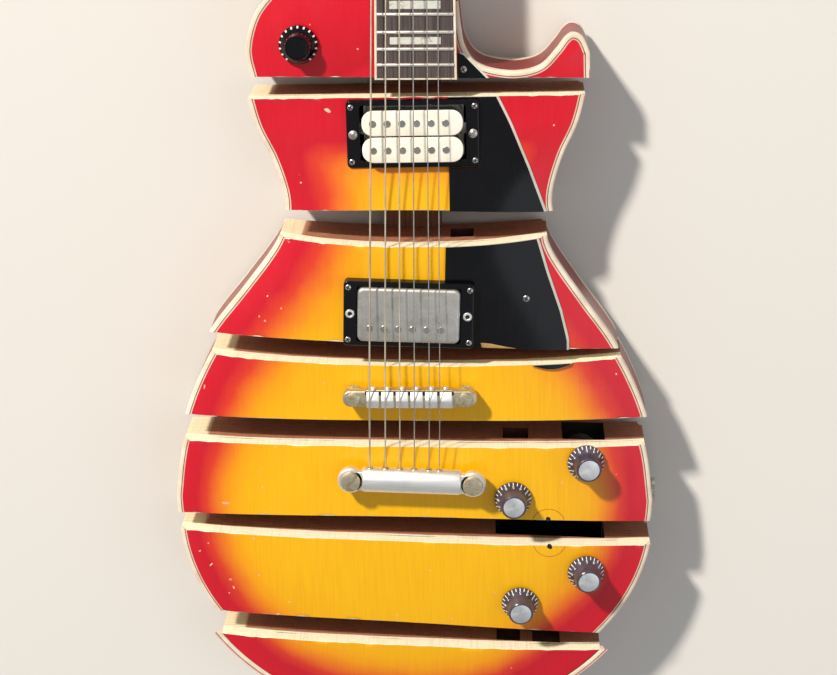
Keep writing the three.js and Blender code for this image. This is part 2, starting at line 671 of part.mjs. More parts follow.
function bridgeBody() {
  const ends = BRIDGE_WIDTH / 2;
  const bar = slab(roundedRectangle(BRIDGE_LENGTH, BRIDGE_WIDTH, ends - FIT), barLow, barHigh);
  const bed = slab(roundedRectangle(SADDLE_ROW, SADDLE_BASE, 1), barLow + 1, barHigh);
  const parts = [bar, bed];
  const pitch = SADDLE_ROW / STRINGS.length;
  for (let k = 0; k < STRINGS.length; k += 1) {
    const x = (k - (STRINGS.length - 1) / 2) * pitch;
    const half = (pitch - SADDLE_GAP) / 2;
    const wedge = polygon([
      [-SADDLE_BASE / 2 + 1, barHigh - 1], [SADDLE_BASE / 2 - 1, barHigh - 1],
      [SADDLE_BASE / 2 - 1, barHigh + 1], [0.6, saddleTop], [-0.6, saddleTop],
      [-SADDLE_BASE / 2 + 1, barHigh + 1],
    ]);
    const stand = new THREE.Matrix4().makeBasis(
      new THREE.Vector3(0, 1, 0), new THREE.Vector3(0, 0, 1), new THREE.Vector3(1, 0, 0),
    );
    parts.push(placed(slab(wedge, x - half, x + half), stand));
  }
  let whole = joined(...parts).translate(BRIDGE.x, BRIDGE.y, 0);
  for (const x of postXs) {
    whole = whole.subtract(rodAt(BRIDGE_POST_R + FIT, x, BRIDGE.y, barLow - PAST, barHigh + PAST));
  }
  return whole;
}

function bridgePost(x) {
  const wheel = barLow - FIT;
  const post = turned([
    [0, bridgeTop - SOCKET_DEPTH], [BRIDGE_POST_R, bridgeTop - SOCKET_DEPTH],
    [BRIDGE_POST_R, wheel - WHEEL_HIGH], [WHEEL_R, wheel - WHEEL_HIGH], [WHEEL_R, wheel],
    [BRIDGE_POST_R, wheel], [BRIDGE_POST_R, barHigh + 0.8], [0, barHigh + 0.8],
  ]);
  return post.translate(x, BRIDGE.y, 0);
}
const postSocket = (x) => rodAt(
  BRIDGE_POST_R + FIT, x, BRIDGE.y, bridgeTop - SOCKET_DEPTH - FIT, DEEP + RIM,
);

const tailTop = topAt(TAILPIECE.x, TAILPIECE.y);
const tailLow = tailTop + TAIL_RISE;
const tailHigh = tailLow + TAIL_BAR_HIGH;
const tailSeat = moved(TAILPIECE.x, TAILPIECE.y, 0)
  .multiply(new THREE.Matrix4().makeRotationZ(degrees(TAILPIECE.skew)));
const lugLow = tailLow + (TAIL_BAR_HIGH - LUG_HIGH) / 2;

// The bar is a run of equal half-round sections, flat below
function tailpieceBar() {
  const arc = [];
  const steps = 7;
  for (let k = 0; k <= steps; k += 1) {
    const angle = Math.PI * (1 - k / steps);
    const round = Math.sin(angle) ** 0.8;
    arc.push([Math.cos(angle) * TAIL_BAR_WIDTH / 2, tailLow + 3 + round * (TAIL_BAR_HIGH - 3)]);
  }
  const base = arc.map(([y]) => [y * 0.82, tailLow]).reverse();
  const ring = (x) => [...arc, ...base].map(([y, z]) => new THREE.Vector3(x, y, z));
  let bar = loft([ring(-TAIL_BAR_LENGTH / 2), ring(TAIL_BAR_LENGTH / 2)]);
  for (const side of [-1, 1]) {
    const x = side * TAIL_SPAN / 2;
    const inner = side * TAIL_BAR_LENGTH / 2 - side * 2;
    const arm = block(Math.min(inner, x), Math.max(inner, x), -LUG_R + 2, LUG_R - 2,
      lugLow, lugLow + LUG_HIGH);
    bar = joined(bar, arm, rodAt(LUG_R, x, 0, lugLow, lugLow + LUG_HIGH, 16));
  }
  for (const side of [-1, 1]) {
    bar = bar.subtract(rodAt(STUD_NECK_R + FIT, side * TAIL_SPAN / 2, 0, 0, tailHigh + DEEP));
  }
  return placed(bar, tailSeat);
}

function tailStud(side) {
  const head = lugLow + LUG_HIGH + FIT;
  const stud = turned([
    [0, tailTop - SOCKET_DEPTH], [STUD_SCREW_R, tailTop - SOCKET_DEPTH],
    [STUD_SCREW_R, lugLow - FIT - 2], [STUD_FLANGE_R, lugLow - FIT - 2],
    [STUD_FLANGE_R, lugLow - FIT], [STUD_NECK_R, lugLow - FIT], [STUD_NECK_R, head],
    [STUD_HEAD_R, head], [STUD_HEAD_R, head + STUD_HEAD * 0.7], [STUD_HEAD_R - 1.4, head + STUD_HEAD],
    [0, head + STUD_HEAD],
  ]);
  return placed(stud.translate(side * TAIL_SPAN / 2, 0, 0), tailSeat);
}
const studSocket = (side) => placed(
  rodAt(STUD_SCREW_R + FIT, side * TAIL_SPAN / 2, 0, tailTop - SOCKET_DEPTH - FIT, DEEP + RIM),
  tailSeat,
);

// Slices with everything cut into them, in the unsawn body's place

const inSlice = (index, solid) => placed(solid, seats[index].clone().invert());

function finishedSlice(index) {
  let slice = blanks[index].subtract(inSlice(index, spineChannel));
  const cut = (tool) => { slice = slice.subtract(tool); };
  if (index === 0) {
    cut(mortise);
    cut(rodAt(SELECTOR_WELL_R, SELECTOR.x, SELECTOR.y, -PAST, CEILING, 24));
    cut(potHole(SELECTOR));
    cut(placed(strapHole(), strapSeats[0]));
  }
  if (index === 1) {
    cut(pickupPocket(NECK_PICKUP));
    cut(wireWay(NECK_PICKUP, { y: CUTS[1].y - DEEP / 2 }));
  }
  if (index === 2) {
    cut(pickupPocket(BRIDGE_PICKUP));
    cut(wireWay({ y: CUTS[1].y + DEEP / 2 }, BRIDGE_PICKUP));
  }
  if (index === 3) postXs.forEach((x) => cut(postSocket(x)));
  if (index === 4) [-1, 1].forEach((side) => cut(studSocket(side)));
  if (index === 3) cut(armEnd());
  if (index > 3) cut(hollow());
  KNOBS.filter((knob) => knob.slice === index).forEach((knob) => cut(potHole(knob)));
  if (index === 4) cut(jackBore);
  if (index === 6) cut(placed(strapHole(), strapSeats[1]));
  return slice;
}

// Neck. Its own frame starts at the end of the fingerboard, on the board's underside.

const nutY = SCALE * (1 - 2 ** (-FRETS / 12)) + BOARD_PAST_FRET;
const boardHalf = (y) => THREE.MathUtils.lerp(BOARD_END_WIDTH, NUT_WIDTH, y / nutY) / 2;
const neckFrame = moved(0, 0, RIM + BOARD_RISE)
  .multiply(new THREE.Matrix4().makeRotationX(-degrees(NECK_PITCH)));
const headFrame = moved(0, nutY + NUT_THICK + FIT, 0)
  .multiply(new THREE.Matrix4().makeRotationX(-degrees(HEAD_PITCH)));
const headInWorld = neckFrame.clone().multiply(headFrame);

function neckRing(y, half, depth, fullness) {
  const top = [];
  const under = [];
  const steps = 10;
  for (let k = 0; k <= steps; k += 1) {
    const t = Math.sin((Math.PI / 2) * (2 * k / steps - 1));
    const drop = NECK_EDGE + (depth - NECK_EDGE) * (1 - Math.abs(t) ** fullness) ** (1 / fullness);
    top.push(new THREE.Vector3(t * half, y, 0));
    under.push(new THREE.Vector3(t * half, y, -drop));
  }
  return [...top, ...under.reverse()];
}

function neckShaft() {
  const depthAt = (y) => NECK_DEPTH + NECK_TAPER * (1 - y / nutY);
  const rings = [];
  const heelEnd = HEEL_Y + HEEL_LENGTH;
  for (const [y, share] of [[HEEL_Y, 1], [heelEnd - 14, 1], [heelEnd, 0.8], [heelEnd + 10, 0.3]]) {
    const depth = THREE.MathUtils.lerp(depthAt(y), HEEL_DEPTH, share);
    rings.push(neckRing(y, boardHalf(y), depth, NECK_ROUND + 2 * share));
  }
  for (const y of [heelEnd + 24, nutY / 2, nutY - 60, nutY + NUT_THICK]) {
    rings.push(neckRing(y, boardHalf(y), depthAt(y), NECK_ROUND));
  }
  return loft(rings);
}

function headstockShape() {
  const half = NUT_WIDTH / 2;
  const shape = new THREE.Shape();
  shape.moveTo(-half, -8);
  shape.lineTo(half, -8);
  shape.lineTo(half, 6);
  shape.quadraticCurveTo(half + 2, 18, 38, 26);
  shape.lineTo(35, HEAD_LENGTH - 16);
  shape.quadraticCurveTo(30, HEAD_LENGTH, 12, HEAD_LENGTH - 3);
  shape.quadraticCurveTo(0, HEAD_LENGTH - 9, -12, HEAD_LENGTH - 3);
  shape.quadraticCurveTo(-30, HEAD_LENGTH, -35, HEAD_LENGTH - 16);
  shape.lineTo(-38, 26);
  shape.quadraticCurveTo(-half - 2, 18, -half, 6);
  return shape;
}

const tunerYs = [0, 1, 2].map((k) => TUNER_FIRST + k * TUNER_PITCH);
const sleeveR = POST_R + FIT + SLEEVE_WALL;

const mortise = block(
  -TENON_WIDTH / 2 - FIT, TENON_WIDTH / 2 + FIT, TENON_END, DEEP * 2, TENON_FLOOR, DEEP + RIM,
);

function neckSolid() {
  const tongue = loft([0, HEEL_Y + PAST].map((y) => [
    new THREE.Vector3(-boardHalf(y), y, 0), new THREE.Vector3(boardHalf(y), y, 0),
    new THREE.Vector3(boardHalf(y), y, -BOARD_RISE), new THREE.Vector3(-boardHalf(y), y, -BOARD_RISE),
  ]));
  let head = slab(headstockShape(), -HEAD_THICK, 0, 6);
  for (const side of [-1, 1]) {
    for (const y of tunerYs) {
      head = head.subtract(rodAt(sleeveR + FIT, side * TUNER_X, y, -HEAD_THICK - PAST, PAST));
    }
  }
  const nose = block(-NUT_WIDTH, NUT_WIDTH, nutY - DEEP, nutY + DEEP, 0, DEEP);
  const above = joined(neckShaft(), tongue, placed(head, headFrame)).subtract(nose);
  const body = blanks[0].translate(0, FIT, FIT);
  const tenon = block(-TENON_WIDTH / 2, TENON_WIDTH / 2, TENON_END + FIT, HEEL_Y + 20,
    TENON_FLOOR + FIT, RIM + FIT + PAST);
  return placed(above, neckFrame).subtract(body).add(tenon);
}

function fingerboard() {
  const outline = polygon([
    [-boardHalf(0), 0], [boardHalf(0), 0], [boardHalf(nutY), nutY - FIT],
    [-boardHalf(nutY), nutY - FIT],
  ]);
  const parts = [slab(outline, FIT, BOARD_THICK)];
  for (let k = 1; k <= FRETS; k += 1) {
    const y = nutY - SCALE * (1 - 2 ** (-k / 12));
    const half = boardHalf(y) - FRET_INSET;
    const crown = [[-FRET_WIDTH / 2, BOARD_THICK - PAST], [FRET_WIDTH / 2, BOARD_THICK - PAST],
      [FRET_WIDTH / 2, BOARD_THICK + 0.3], [FRET_WIDTH / 5, BOARD_THICK + FRET_HEIGHT],
      [-FRET_WIDTH / 5, BOARD_THICK + FRET_HEIGHT], [-FRET_WIDTH / 2, BOARD_THICK + 0.3]];
    const stand = new THREE.Matrix4().makeBasis(
      new THREE.Vector3(0, 1, 0), new THREE.Vector3(0, 0, 1), new THREE.Vector3(1, 0, 0),
    ).premultiply(moved(0, y, 0));
    parts.push(placed(slab(polygon(crown), -half, half), stand));
  }
  return joined(...parts);
}

const nutPiece = block(-NUT_WIDTH / 2, NUT_WIDTH / 2, nutY, nutY + NUT_THICK, FIT, NUT_HEIGHT);

function trussCover() {
  const shape = new THREE.Shape();
  shape.moveTo(-10, 4);
  shape.lineTo(10, 4);
  shape.quadraticCurveTo(9, 22, 4, 34);
  shape.quadraticCurveTo(0, 39, -4, 34);
  shape.quadraticCurveTo(-9, 22, -10, 4);
  return slab(shape, FIT, 2.2);
}

// Tuners, in the headstock's frame; side is -1 on the bass side

const plateTop = -HEAD_THICK - FIT;
const keyZ = plateTop - PLATE_THICK - KEY_DROP;
const housingOut = TUNER_X + PLATE_WIDTH / 2;

function tunerPlate(side) {
  const ends = [tunerYs[0] - HOUSING_LONG / 2 - 2, tunerYs[2] + HOUSING_LONG / 2 + 2];
  const x0 = side > 0 ? TUNER_X - PLATE_WIDTH / 2 : -housingOut;
  let whole = block(x0, x0 + PLATE_WIDTH, ends[0], ends[1], plateTop - PLATE_THICK, plateTop);
  for (const y of tunerYs) {
    const low = plateTop - PLATE_THICK - HOUSING_DEEP;
    const shell = slab(roundedRectangle(PLATE_WIDTH, HOUSING_LONG, 4), low,
      plateTop - PLATE_THICK / 2, 3).translate(side * TUNER_X, y, 0);
    const sleeve = turned([
      [0, plateTop - PAST], [sleeveR, plateTop - PAST], [sleeveR, FIT], [COLLAR_R, FIT],
      [COLLAR_R, FIT + COLLAR_HIGH], [0, FIT + COLLAR_HIGH],
    ], 12).translate(side * TUNER_X, y, 0);
    whole = joined(whole, shell, sleeve);
  }
  for (const y of tunerYs) {
    whole = whole.subtract(rodAt(POST_R + FIT, side * TUNER_X, y, keyZ + KEY_R + 1, DEEP));
    const bore = rod(KEY_R + FIT, -KEY_IN - FIT, DEEP / 4, 12);
    const across = moved(side * housingOut, y, keyZ)
      .multiply(new THREE.Matrix4().makeRotationY(side * Math.PI / 2));
    whole = whole.subtract(placed(bore, across));
  }
  return whole;
}

function tunerPost() {
  const foot = keyZ + KEY_R + 1 + FIT;
  return turned([
    [0, foot], [POST_R, foot], [POST_R, 5], [POST_R - 0.5, 8], [POST_R - 0.5, POST_UP - 4],
    [POST_R, POST_UP - 2], [POST_R - 0.6, POST_UP], [0, POST_UP],
  ], 10);
}

// A button's own frame starts at the housing's side, with Z along its shaft
function tunerButton() {
  const shaft = rod(KEY_R, -KEY_IN, KEY_OUT + 2, 12);
  const grip = roundedRectangle(BUTTON_WIDE, BUTTON_LONG, BUTTON_LONG / 2.3);
  const flat = slab(grip, -BUTTON_THICK / 2, BUTTON_THICK / 2);
  const lie = new THREE.Matrix4().makeRotationX(Math.PI / 2)
    .premultiply(moved(0, 0, KEY_OUT + BUTTON_LONG / 2));
  return joined(shaft, placed(flat, lie));
}

// Strings. A wire has mitred bends and flat ends.

function wire(points, radius) {
  const rings = points.map((point, index) => {
    const before = points[Math.max(index - 1, 0)];
    const after = points[Math.min(index + 1, points.length - 1)];
    const along = after.clone().sub(before).normalize();
    const side = new THREE.Vector3(1, 0, 0).addScaledVector(along, -along.x).normalize();
    const up = side.clone().cross(along);
    const ring = [];
    for (let k = 0; k < WIRE_SIDES; k += 1) {
      const angle = (2 * Math.PI * (k + 0.5)) / WIRE_SIDES;
      ring.push(point.clone()
        .addScaledVector(side, radius * Math.cos(angle))
        .addScaledVector(up, radius * Math.sin(angle)));
    }
    return ring;
  });
  return loft(rings);
}

function guitarString({ r, saddle }, index) {
  const slot = NUT_SHIFT + NUT_SPREAD * (index / (STRINGS.length - 1) - 0.5);
  const side = index < STRINGS.length / 2 ? -1 : 1;
  const y = tunerYs[side < 0 ? index : STRINGS.length - 1 - index];
  const post = new THREE.Vector3(side * (TUNER_X - POST_R - FIT - r), y, WIND_HEIGHT)
    .applyMatrix4(headInWorld);
  const nut = [NUT_THICK + PAST, 0].map((along) => (
    new THREE.Vector3(slot, nutY + along, NUT_HEIGHT + FIT + r).applyMatrix4(neckFrame)));
  const crest = [PAST, -PAST].map((along) => (
    new THREE.Vector3(BRIDGE.x + saddle, BRIDGE.y + along, saddleTop + FIT + r)
      .applyMatrix4(seats[3])));
  const frontY = TAIL_BAR_WIDTH / 2 + FIT;
  const anchor = new THREE.Vector3(saddle - TAILPIECE.x, frontY, tailLow + TAIL_BAR_HIGH * 0.4);
  anchor.applyMatrix4(tailSeat).applyMatrix4(seats[4]);
  return wire([post, ...nut, ...crest, anchor], r);
}

// The guitar

const guitar = new THREE.Group();

const slotted = SEATS.map((_, index) => {
  const slice = new THREE.Group();
  slice.applyMatrix4(seats[index]);
  slice.add(named(`slice_${index + 1}`, finishedSlice(index), LACQUER));
  guitar.add(slice);
  return slice;
});
guitar.add(named('spine', spine, BATTEN));

guitar.add(named('neck', neckSolid(), MAHOGANY));
const neck = new THREE.Group();
neck.applyMatrix4(neckFrame);
neck.add(named('fretboard', fingerboard(), ROSEWOOD));
neck.add(named('nut', nutPiece, BONE));
guitar.add(neck);
const head = new THREE.Group();
head.applyMatrix4(headFrame);
head.add(named('truss_rod_cover', trussCover(), BLACK));
for (const [side, word] of [[-1, 'bass'], [1, 'treble']]) {
  head.add(named(`tuner_plate_${word}`, tunerPlate(side), NICKEL));
  tunerYs.forEach((y, k) => {
    const string = side < 0 ? STRINGS.length - k : k + 1;
    const upright = new THREE.Group();
    upright.position.set(side * TUNER_X, y, 0);
    upright.add(named(`tuner_post_${string}`, tunerPost(), NICKEL));
    const across = new THREE.Group();
    across.position.set(side * housingOut, y, keyZ);
    across.rotation.y = side * Math.PI / 2;
    across.add(named(`tuner_button_${string}`, tunerButton(), NICKEL));
    head.add(upright, across);
  });
}
neck.add(head);

slotted[1].add(named('neck_pickup_ring', pickupRing(blanks[1], NECK_PICKUP, neckRingTop), BLACK));
const neckBase = pickupBase(BOBBIN_LENGTH, neckRingTop).translate(NECK_PICKUP.x, NECK_PICKUP.y, 0);
slotted[1].add(named('neck_pickup_base', neckBase, NICKEL));
slotted[1].add(named('neck_pickup_bobbin_upper', bobbin(1), CREAM));
slotted[1].add(named('neck_pickup_bobbin_lower', bobbin(-1), CREAM));
slotted[2].add(named('bridge_pickup_ring',
  pickupRing(blanks[2], BRIDGE_PICKUP, bridgeRingTop), BLACK));
slotted[2].add(named('bridge_pickup', coveredPickup(), NICKEL));

slotted[3].add(named('bridge_body', bridgeBody(), WORN_METAL));
postXs.forEach((x, k) => {
  slotted[3].add(named(`bridge_post_${k ? 'treble' : 'bass'}`, bridgePost(x), WORN_METAL));
});
slotted[4].add(named('tailpiece', tailpieceBar(), WORN_METAL));
slotted[4].add(named('tailpiece_stud_bass', tailStud(-1), WORN_METAL));
slotted[4].add(named('tailpiece_stud_treble', tailStud(1), WORN_METAL));

// The pickguard was sawn with the body, so each piece ends at its slice's own edge
const guardEnd = CUTS[0].y - DEEP / 6;
const boardSide = boardHalf(0) + FIT + 0.4;
slotted[0].add(named('pickguard_upper', skin(blanks[0], polygon([
  [boardSide, guardEnd], ...[...GUARD_1].reverse(), [boardSide, GUARD_1[0][1]],
]), GUARD_THICK), BLACK));
function guardPiece(blank, left, edge, high, low, ring) {
  const plate = skin(blank, polygon([[left, high], [left, low],
    [edge[edge.length - 1][0] + 1, low], ...[...edge].reverse(), [edge[0][0] - 2, high]]),
  GUARD_THICK);
  const half = RING_LENGTH / 2 + FIT;
  const wide = RING_WIDTH / 2 + FIT;
  return plate.subtract(block(ring.x - half, ring.x + half, ring.y - wide, ring.y + wide,
    0, DEEP + RIM));
}
slotted[1].add(named('pickguard_middle', guardPiece(
  blanks[1], GUARD_2_LEFT, GUARD_2, CUTS[0].y + DEEP / 6, CUTS[1].y - DEEP / 6, NECK_PICKUP,
), BLACK));
slotted[2].add(named('pickguard_lower', guardPiece(
  blanks[2], GUARD_3_LEFT, GUARD_3, CUTS[1].y + DEEP / 6, CUTS[2].y - DEEP / 6, BRIDGE_PICKUP,
), BLACK));

for (const control of [...KNOBS, SELECTOR]) {
  const stand = new THREE.Group();
  stand.applyMatrix4(controlSeat(control));
  stand.add(named(control.pot, potUnder(control), STEEL));
  const knob = control === SELECTOR
    ? knobOver(SELECTOR_HIGH, SELECTOR_CAP_R) : knobOver(KNOB_HIGH, CAP_R);
  stand.add(named(control.name, knob, BLACK));
  slotted[control.slice].add(stand);
}

slotted[4].add(named('jack_socket', placed(jackSocket(), jackMatrix), NICKEL));
slotted[0].add(named('strap_button_neck', placed(strapButton(), strapSeats[0]), NICKEL));
slotted[6].add(named('strap_button_tail', placed(strapButton(), strapSeats[1]), NICKEL));

STRINGS.forEach((string, index) => {
  guitar.add(named(string.name, guitarString(string, index), STEEL));
});

// The origin is under the middle of the whole guitar, at the level it lies on
const whole = new THREE.Group();
whole.add(guitar);
whole.updateMatrixWorld(true);
const bounds = new THREE.Box3().setFromObject(whole, true);
const centre = bounds.getCenter(new THREE.Vector3());
guitar.position.set(-centre.x, -centre.y, -bounds.min.z);

export default whole;
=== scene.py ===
# %% [markdown]
# # A sawn-up electric guitar
# The guitar was played, knocked and then sawn straight across into seven slices, which were spread
# apart on a batten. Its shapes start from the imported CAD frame, so every piece below is made in the
# frame's own place, in metres, and rides on the CAD body that it belongs to.

# %% The frame
import json
import math
import bmesh
import bpy
import numpy as np
from mathutils import Matrix, Vector

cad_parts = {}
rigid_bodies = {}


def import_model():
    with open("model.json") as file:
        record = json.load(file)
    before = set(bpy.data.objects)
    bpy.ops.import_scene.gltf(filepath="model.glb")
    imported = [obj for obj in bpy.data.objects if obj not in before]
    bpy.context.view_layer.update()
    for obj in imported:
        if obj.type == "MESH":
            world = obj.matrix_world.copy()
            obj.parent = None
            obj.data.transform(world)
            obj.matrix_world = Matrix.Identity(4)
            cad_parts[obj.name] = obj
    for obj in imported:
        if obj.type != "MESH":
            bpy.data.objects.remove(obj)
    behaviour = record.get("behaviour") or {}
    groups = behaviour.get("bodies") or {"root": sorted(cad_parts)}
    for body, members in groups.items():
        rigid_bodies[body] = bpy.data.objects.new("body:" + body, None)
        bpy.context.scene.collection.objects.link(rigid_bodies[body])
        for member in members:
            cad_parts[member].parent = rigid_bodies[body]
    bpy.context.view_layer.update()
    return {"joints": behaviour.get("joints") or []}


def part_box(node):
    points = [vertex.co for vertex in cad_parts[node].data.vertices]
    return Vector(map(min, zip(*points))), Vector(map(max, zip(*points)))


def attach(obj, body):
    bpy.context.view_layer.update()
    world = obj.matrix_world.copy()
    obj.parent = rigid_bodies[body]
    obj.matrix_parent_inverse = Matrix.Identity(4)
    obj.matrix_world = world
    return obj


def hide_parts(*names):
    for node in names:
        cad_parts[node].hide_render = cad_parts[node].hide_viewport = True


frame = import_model()

# %% [markdown]
# The guitar's own drawing has x = 0 under the middle of the strings, y = 0 at the end of the
# fingerboard and z = 0 at the backs of the slices, all in millimetres. The batten's corner is a place
# that the drawing and the frame both know, so one subtraction ties them together.

# %% From the drawing to the frame
MM = 0.001
SPINE_CORNER = (-23.5, 52.0, -10.0)
spine_low, spine_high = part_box("spine")
DRAWING = Vector((
    spine_low.x - SPINE_CORNER[0] * MM,
    spine_high.y - SPINE_CORNER[1] * MM,
    spine_low.z - SPINE_CORNER[2] * MM,
))


def at(x, y, z):
    """A point of the drawing, in millimetres, as a point of the frame, in metres."""
    return Vector((x, y, z)) * MM + DRAWING


print("drawing's origin in the frame", [round(v, 4) for v in DRAWING])

# %% [markdown]
# The body's outline, its carved top and its saw cuts follow formulas, so a slice can be made as
# fine as the eye needs. Half widths are joined by a smooth curve down to the lower bout, and the
# tail end is half of an ellipse.

# %% The unsawn body
RIM = 46.0
ARCH = 12.0
ARCH_START, ARCH_FULL, ARCH_FALL = -5.0, -100.0, -230.0
MIDDLE = 2.4
BOUT, BOUT_Y = 168.5, -245.0
TAIL_LENGTH = 146.0
TAIL_Y = BOUT_Y - TAIL_LENGTH + 0.6
FLANKS = (
    (BOUT_Y, BOUT), (-202, 161.5), (-158, 142.5), (-124, 118), (-102, 102), (-88, 93.4),
    (-78, 90.4), (-64, 91.6), (-43, 98), (-22, 107.6), (0, 113.2),
)
SHOULDER = (
    (-113.4, 18), (-108.6, 38), (-99.5, 52), (-84, 66), (-62, 77), (-40, 82), (-21, 83),
)
CUTAWAY = (
    (27.8, 50), (29.8, 31), (32.3, 19.5), (38.9, 9.4), (50, 4.4), (66.4, 2.6), (81.9, 6.5),
    (92.4, 17.2), (98.3, 25.1), (103.6, 28.1), (110.1, 25.1), (114.8, 15),
)


def smooth_run(points, steps):
    """A curve through the points, with so many steps from one point to the next."""
    points = [np.array(p, float) for p in points]
    run = []
    for i in range(len(points) - 1):
        p0, p1, p2 = points[max(i - 1, 0)], points[i], points[i + 1]
        p3 = points[min(i + 2, len(points) - 1)]
        v0, v1 = (p2 - p0) / 2, (p3 - p1) / 2
        for t in np.arange(steps) / steps:
            run.append((2 * p1 - 2 * p2 + v0 + v1) * t**3
                       + (3 * p2 - 3 * p1 - 2 * v0 - v1) * t**2 + v0 * t + p1)
    return np.array(run + [points[-1]])


FLANK_RUN = smooth_run(FLANKS, 12)


def half_width(y):
    y = np.asarray(y, float)
    down = np.clip((BOUT_Y - y) / TAIL_LENGTH, 0, 1)
    tail = BOUT * np.sqrt(1 - down**2)
    return np.where(y <= BOUT_Y, tail, np.interp(y, FLANK_RUN[:, 0], FLANK_RUN[:, 1]))


def arch_height(y):
    t = np.clip((ARCH_START - np.asarray(y, float)) / (ARCH_START - ARCH_FULL), 0, 1)
    fallen = np.maximum(ARCH_FALL - y, 0) / (ARCH_FALL - BOUT_Y + TAIL_LENGTH)
    return ARCH * t * t * (3 - 2 * t) * np.maximum(1 - fallen**2, 0)


def top_height(x, y):
    """Height of the carved top over the back, before the body was sawn."""
    out = np.clip(np.abs(np.asarray(x, float) - MIDDLE) / half_width(y), 0, 1)
    return RIM + arch_height(y) * (1 - out**3)


def surface_z(index, x, y):
    """Height of a slice's face: the upper slice is flat, and the others are carved."""
    return np.full(np.shape(x), RIM) if index == 0 else top_height(x, y)


print("body is", 2 * BOUT, "mm wide and", round(83 - TAIL_Y), "mm long before the saw")

# %% [markdown]
# A hand-held saw wanders: each side of a cut has its own slope and its own sag. The slices were
# then set down a little off line and a little turned, which is what the seats hold.

# %% Saw cuts and seats
KERF = 1.5
CUTS = (
    dict(y=-1.5, gap=13.2, over=(-0.4, 0), under=(-0.1, 0)),
    dict(y=-81.2, gap=18.3, over=(-0.9, -2.8), under=(1.7, 4.3)),
    dict(y=-157.1, gap=11.4, over=(-0.7, -0.6), under=(-0.6, 3.4)),
    dict(y=-202.8, gap=20.2, over=(-0.3, -0.6), under=(-0.1, -1.3)),
    dict(y=-260.7, gap=15.7, over=(-0.5, -4.6), under=(-1.9, -1.3)),
    dict(y=-329.1, gap=15.7, over=(-3.5, -3.1), under=(-1.4, -0.6)),
)
SEATS = ((0, 0), (-2.6, 0.6), (-6.8, -1.7), (-6.6, 0), (-8.1, -0.5), (-7.1, 0), (-9.8, -1))


def edge_y(cut, side, x):
    slope, sag = cut[side]
    start = cut["y"] + (KERF if side == "over" else -KERF) / 2
    across = np.clip(np.abs(x - MIDDLE) / half_width(cut["y"]), 0, 1)
    return start + math.tan(math.radians(slope)) * (x - MIDDLE) - sag * (1 - across**2)


def seat(index):
    """Moves a slice from the unsawn body to where it lies now, in millimetres."""
    spread = sum(cut["gap"] - KERF for cut in CUTS[:index])
    upper = CUTS[index - 1]["y"] if index else 0
    lower = CUTS[index]["y"] if index < len(CUTS) else TAIL_Y
    middle = (upper + lower) / 2
    shift, turn = SEATS[index]
    return (Matrix.Translation((shift + MIDDLE, middle - spread, 0))
            @ Matrix.Rotation(math.radians(turn), 4, "Z")
            @ Matrix.Translation((-MIDDLE, -middle, 0)))


SEAT = [seat(i) for i in range(len(SEATS))]


def to_frame(points, index):
    """A slice's points on the unsawn body, in millimetres, as points of the frame, in metres."""
    m = np.array(SEAT[index])
    points = np.asarray(points, float).reshape(-1, 3) @ m[:3, :3].T + m[:3, 3]
    return points * MM + np.array(DRAWING)


def to_body(points, index):
    """The way back: points of the frame as places on the unsawn body."""
    m = np.array(SEAT[index].inverted())
    return (points - np.array(DRAWING)) / MM @ m[:3, :3].T + m[:3, 3]


print("slices", len(SEAT), "lowest seat", [round(v, 1) for v in SEAT[-1].translation])

# %% [markdown]
# Colours are written as they would be picked from a picture, in sRGB hex, and turned to the linear
# values that the shader adds up. One helper adds any node to a material's tree, with its settings
# and its links, and hands back one of its outputs, so that a recipe reads from top to bottom.

# %% Colour and node helpers
def hex_colour(text):
    """An sRGB hex colour as linear red, green, blue and alpha."""
    parts = [int(text[i:i + 2], 16) / 255 for i in (1, 3, 5)]
    linear = [c / 12.92 if c <= 0.04045 else ((c + 0.055) / 1.055) ** 2.4 for c in parts]
    return (*linear, 1.0)


def set_inputs(tree, node, inputs):
    """Each input is a number, a vector, a hex colour, or another node's output to link from."""
    for name, value in inputs.items():
        socket = node.inputs[name]
        if isinstance(value, bpy.types.NodeSocket):
            tree.links.new(value, socket)
        else:
            socket.default_value = hex_colour(value) if isinstance(value, str) else value


def add_node(tree, kind, inputs, output=0, stops=(), **settings):
    """Adds a shader node; stops are a colour ramp's (place, hex) pairs."""
    node = tree.nodes.new("ShaderNode" + kind)
    for name, value in settings.items():
        setattr(node, name, value)
    set_inputs(tree, node, inputs)
    if stops:
        elements = node.color_ramp.elements
        while len(elements) < len(stops):
            elements.new(0.5)
        for element, (place, colour) in zip(elements, stops):
            element.position = place
            element.color = hex_colour(colour)
    return node.outputs[output]


def new_material(name):
    """An empty material, its tree, and the object's own coordinates for its patterns."""
    material = bpy.data.materials.new(name)
    material.use_nodes = True
    tree = material.node_tree
    return material, tree, add_node(tree, "TexCoord", {}, output="Object")


def finish_material(material, inputs):
    tree = material.node_tree
    set_inputs(tree, tree.nodes["Principled BSDF"], inputs)
    print("finish", material.name, "from", len(tree.nodes), "nodes")
    return material


def per_mm(size):
    """The scale of a pattern whose features measure so many millimetres."""
    return 1 / (size * MM)


def stretch(x, y, z):
    """The scales of a pattern whose features measure x, y and z millimetres."""
    return (per_mm(x), per_mm(y), per_mm(z))


print("red lacquer in linear light", [round(c, 3) for c in hex_colour("#dc1c34")[:3]])

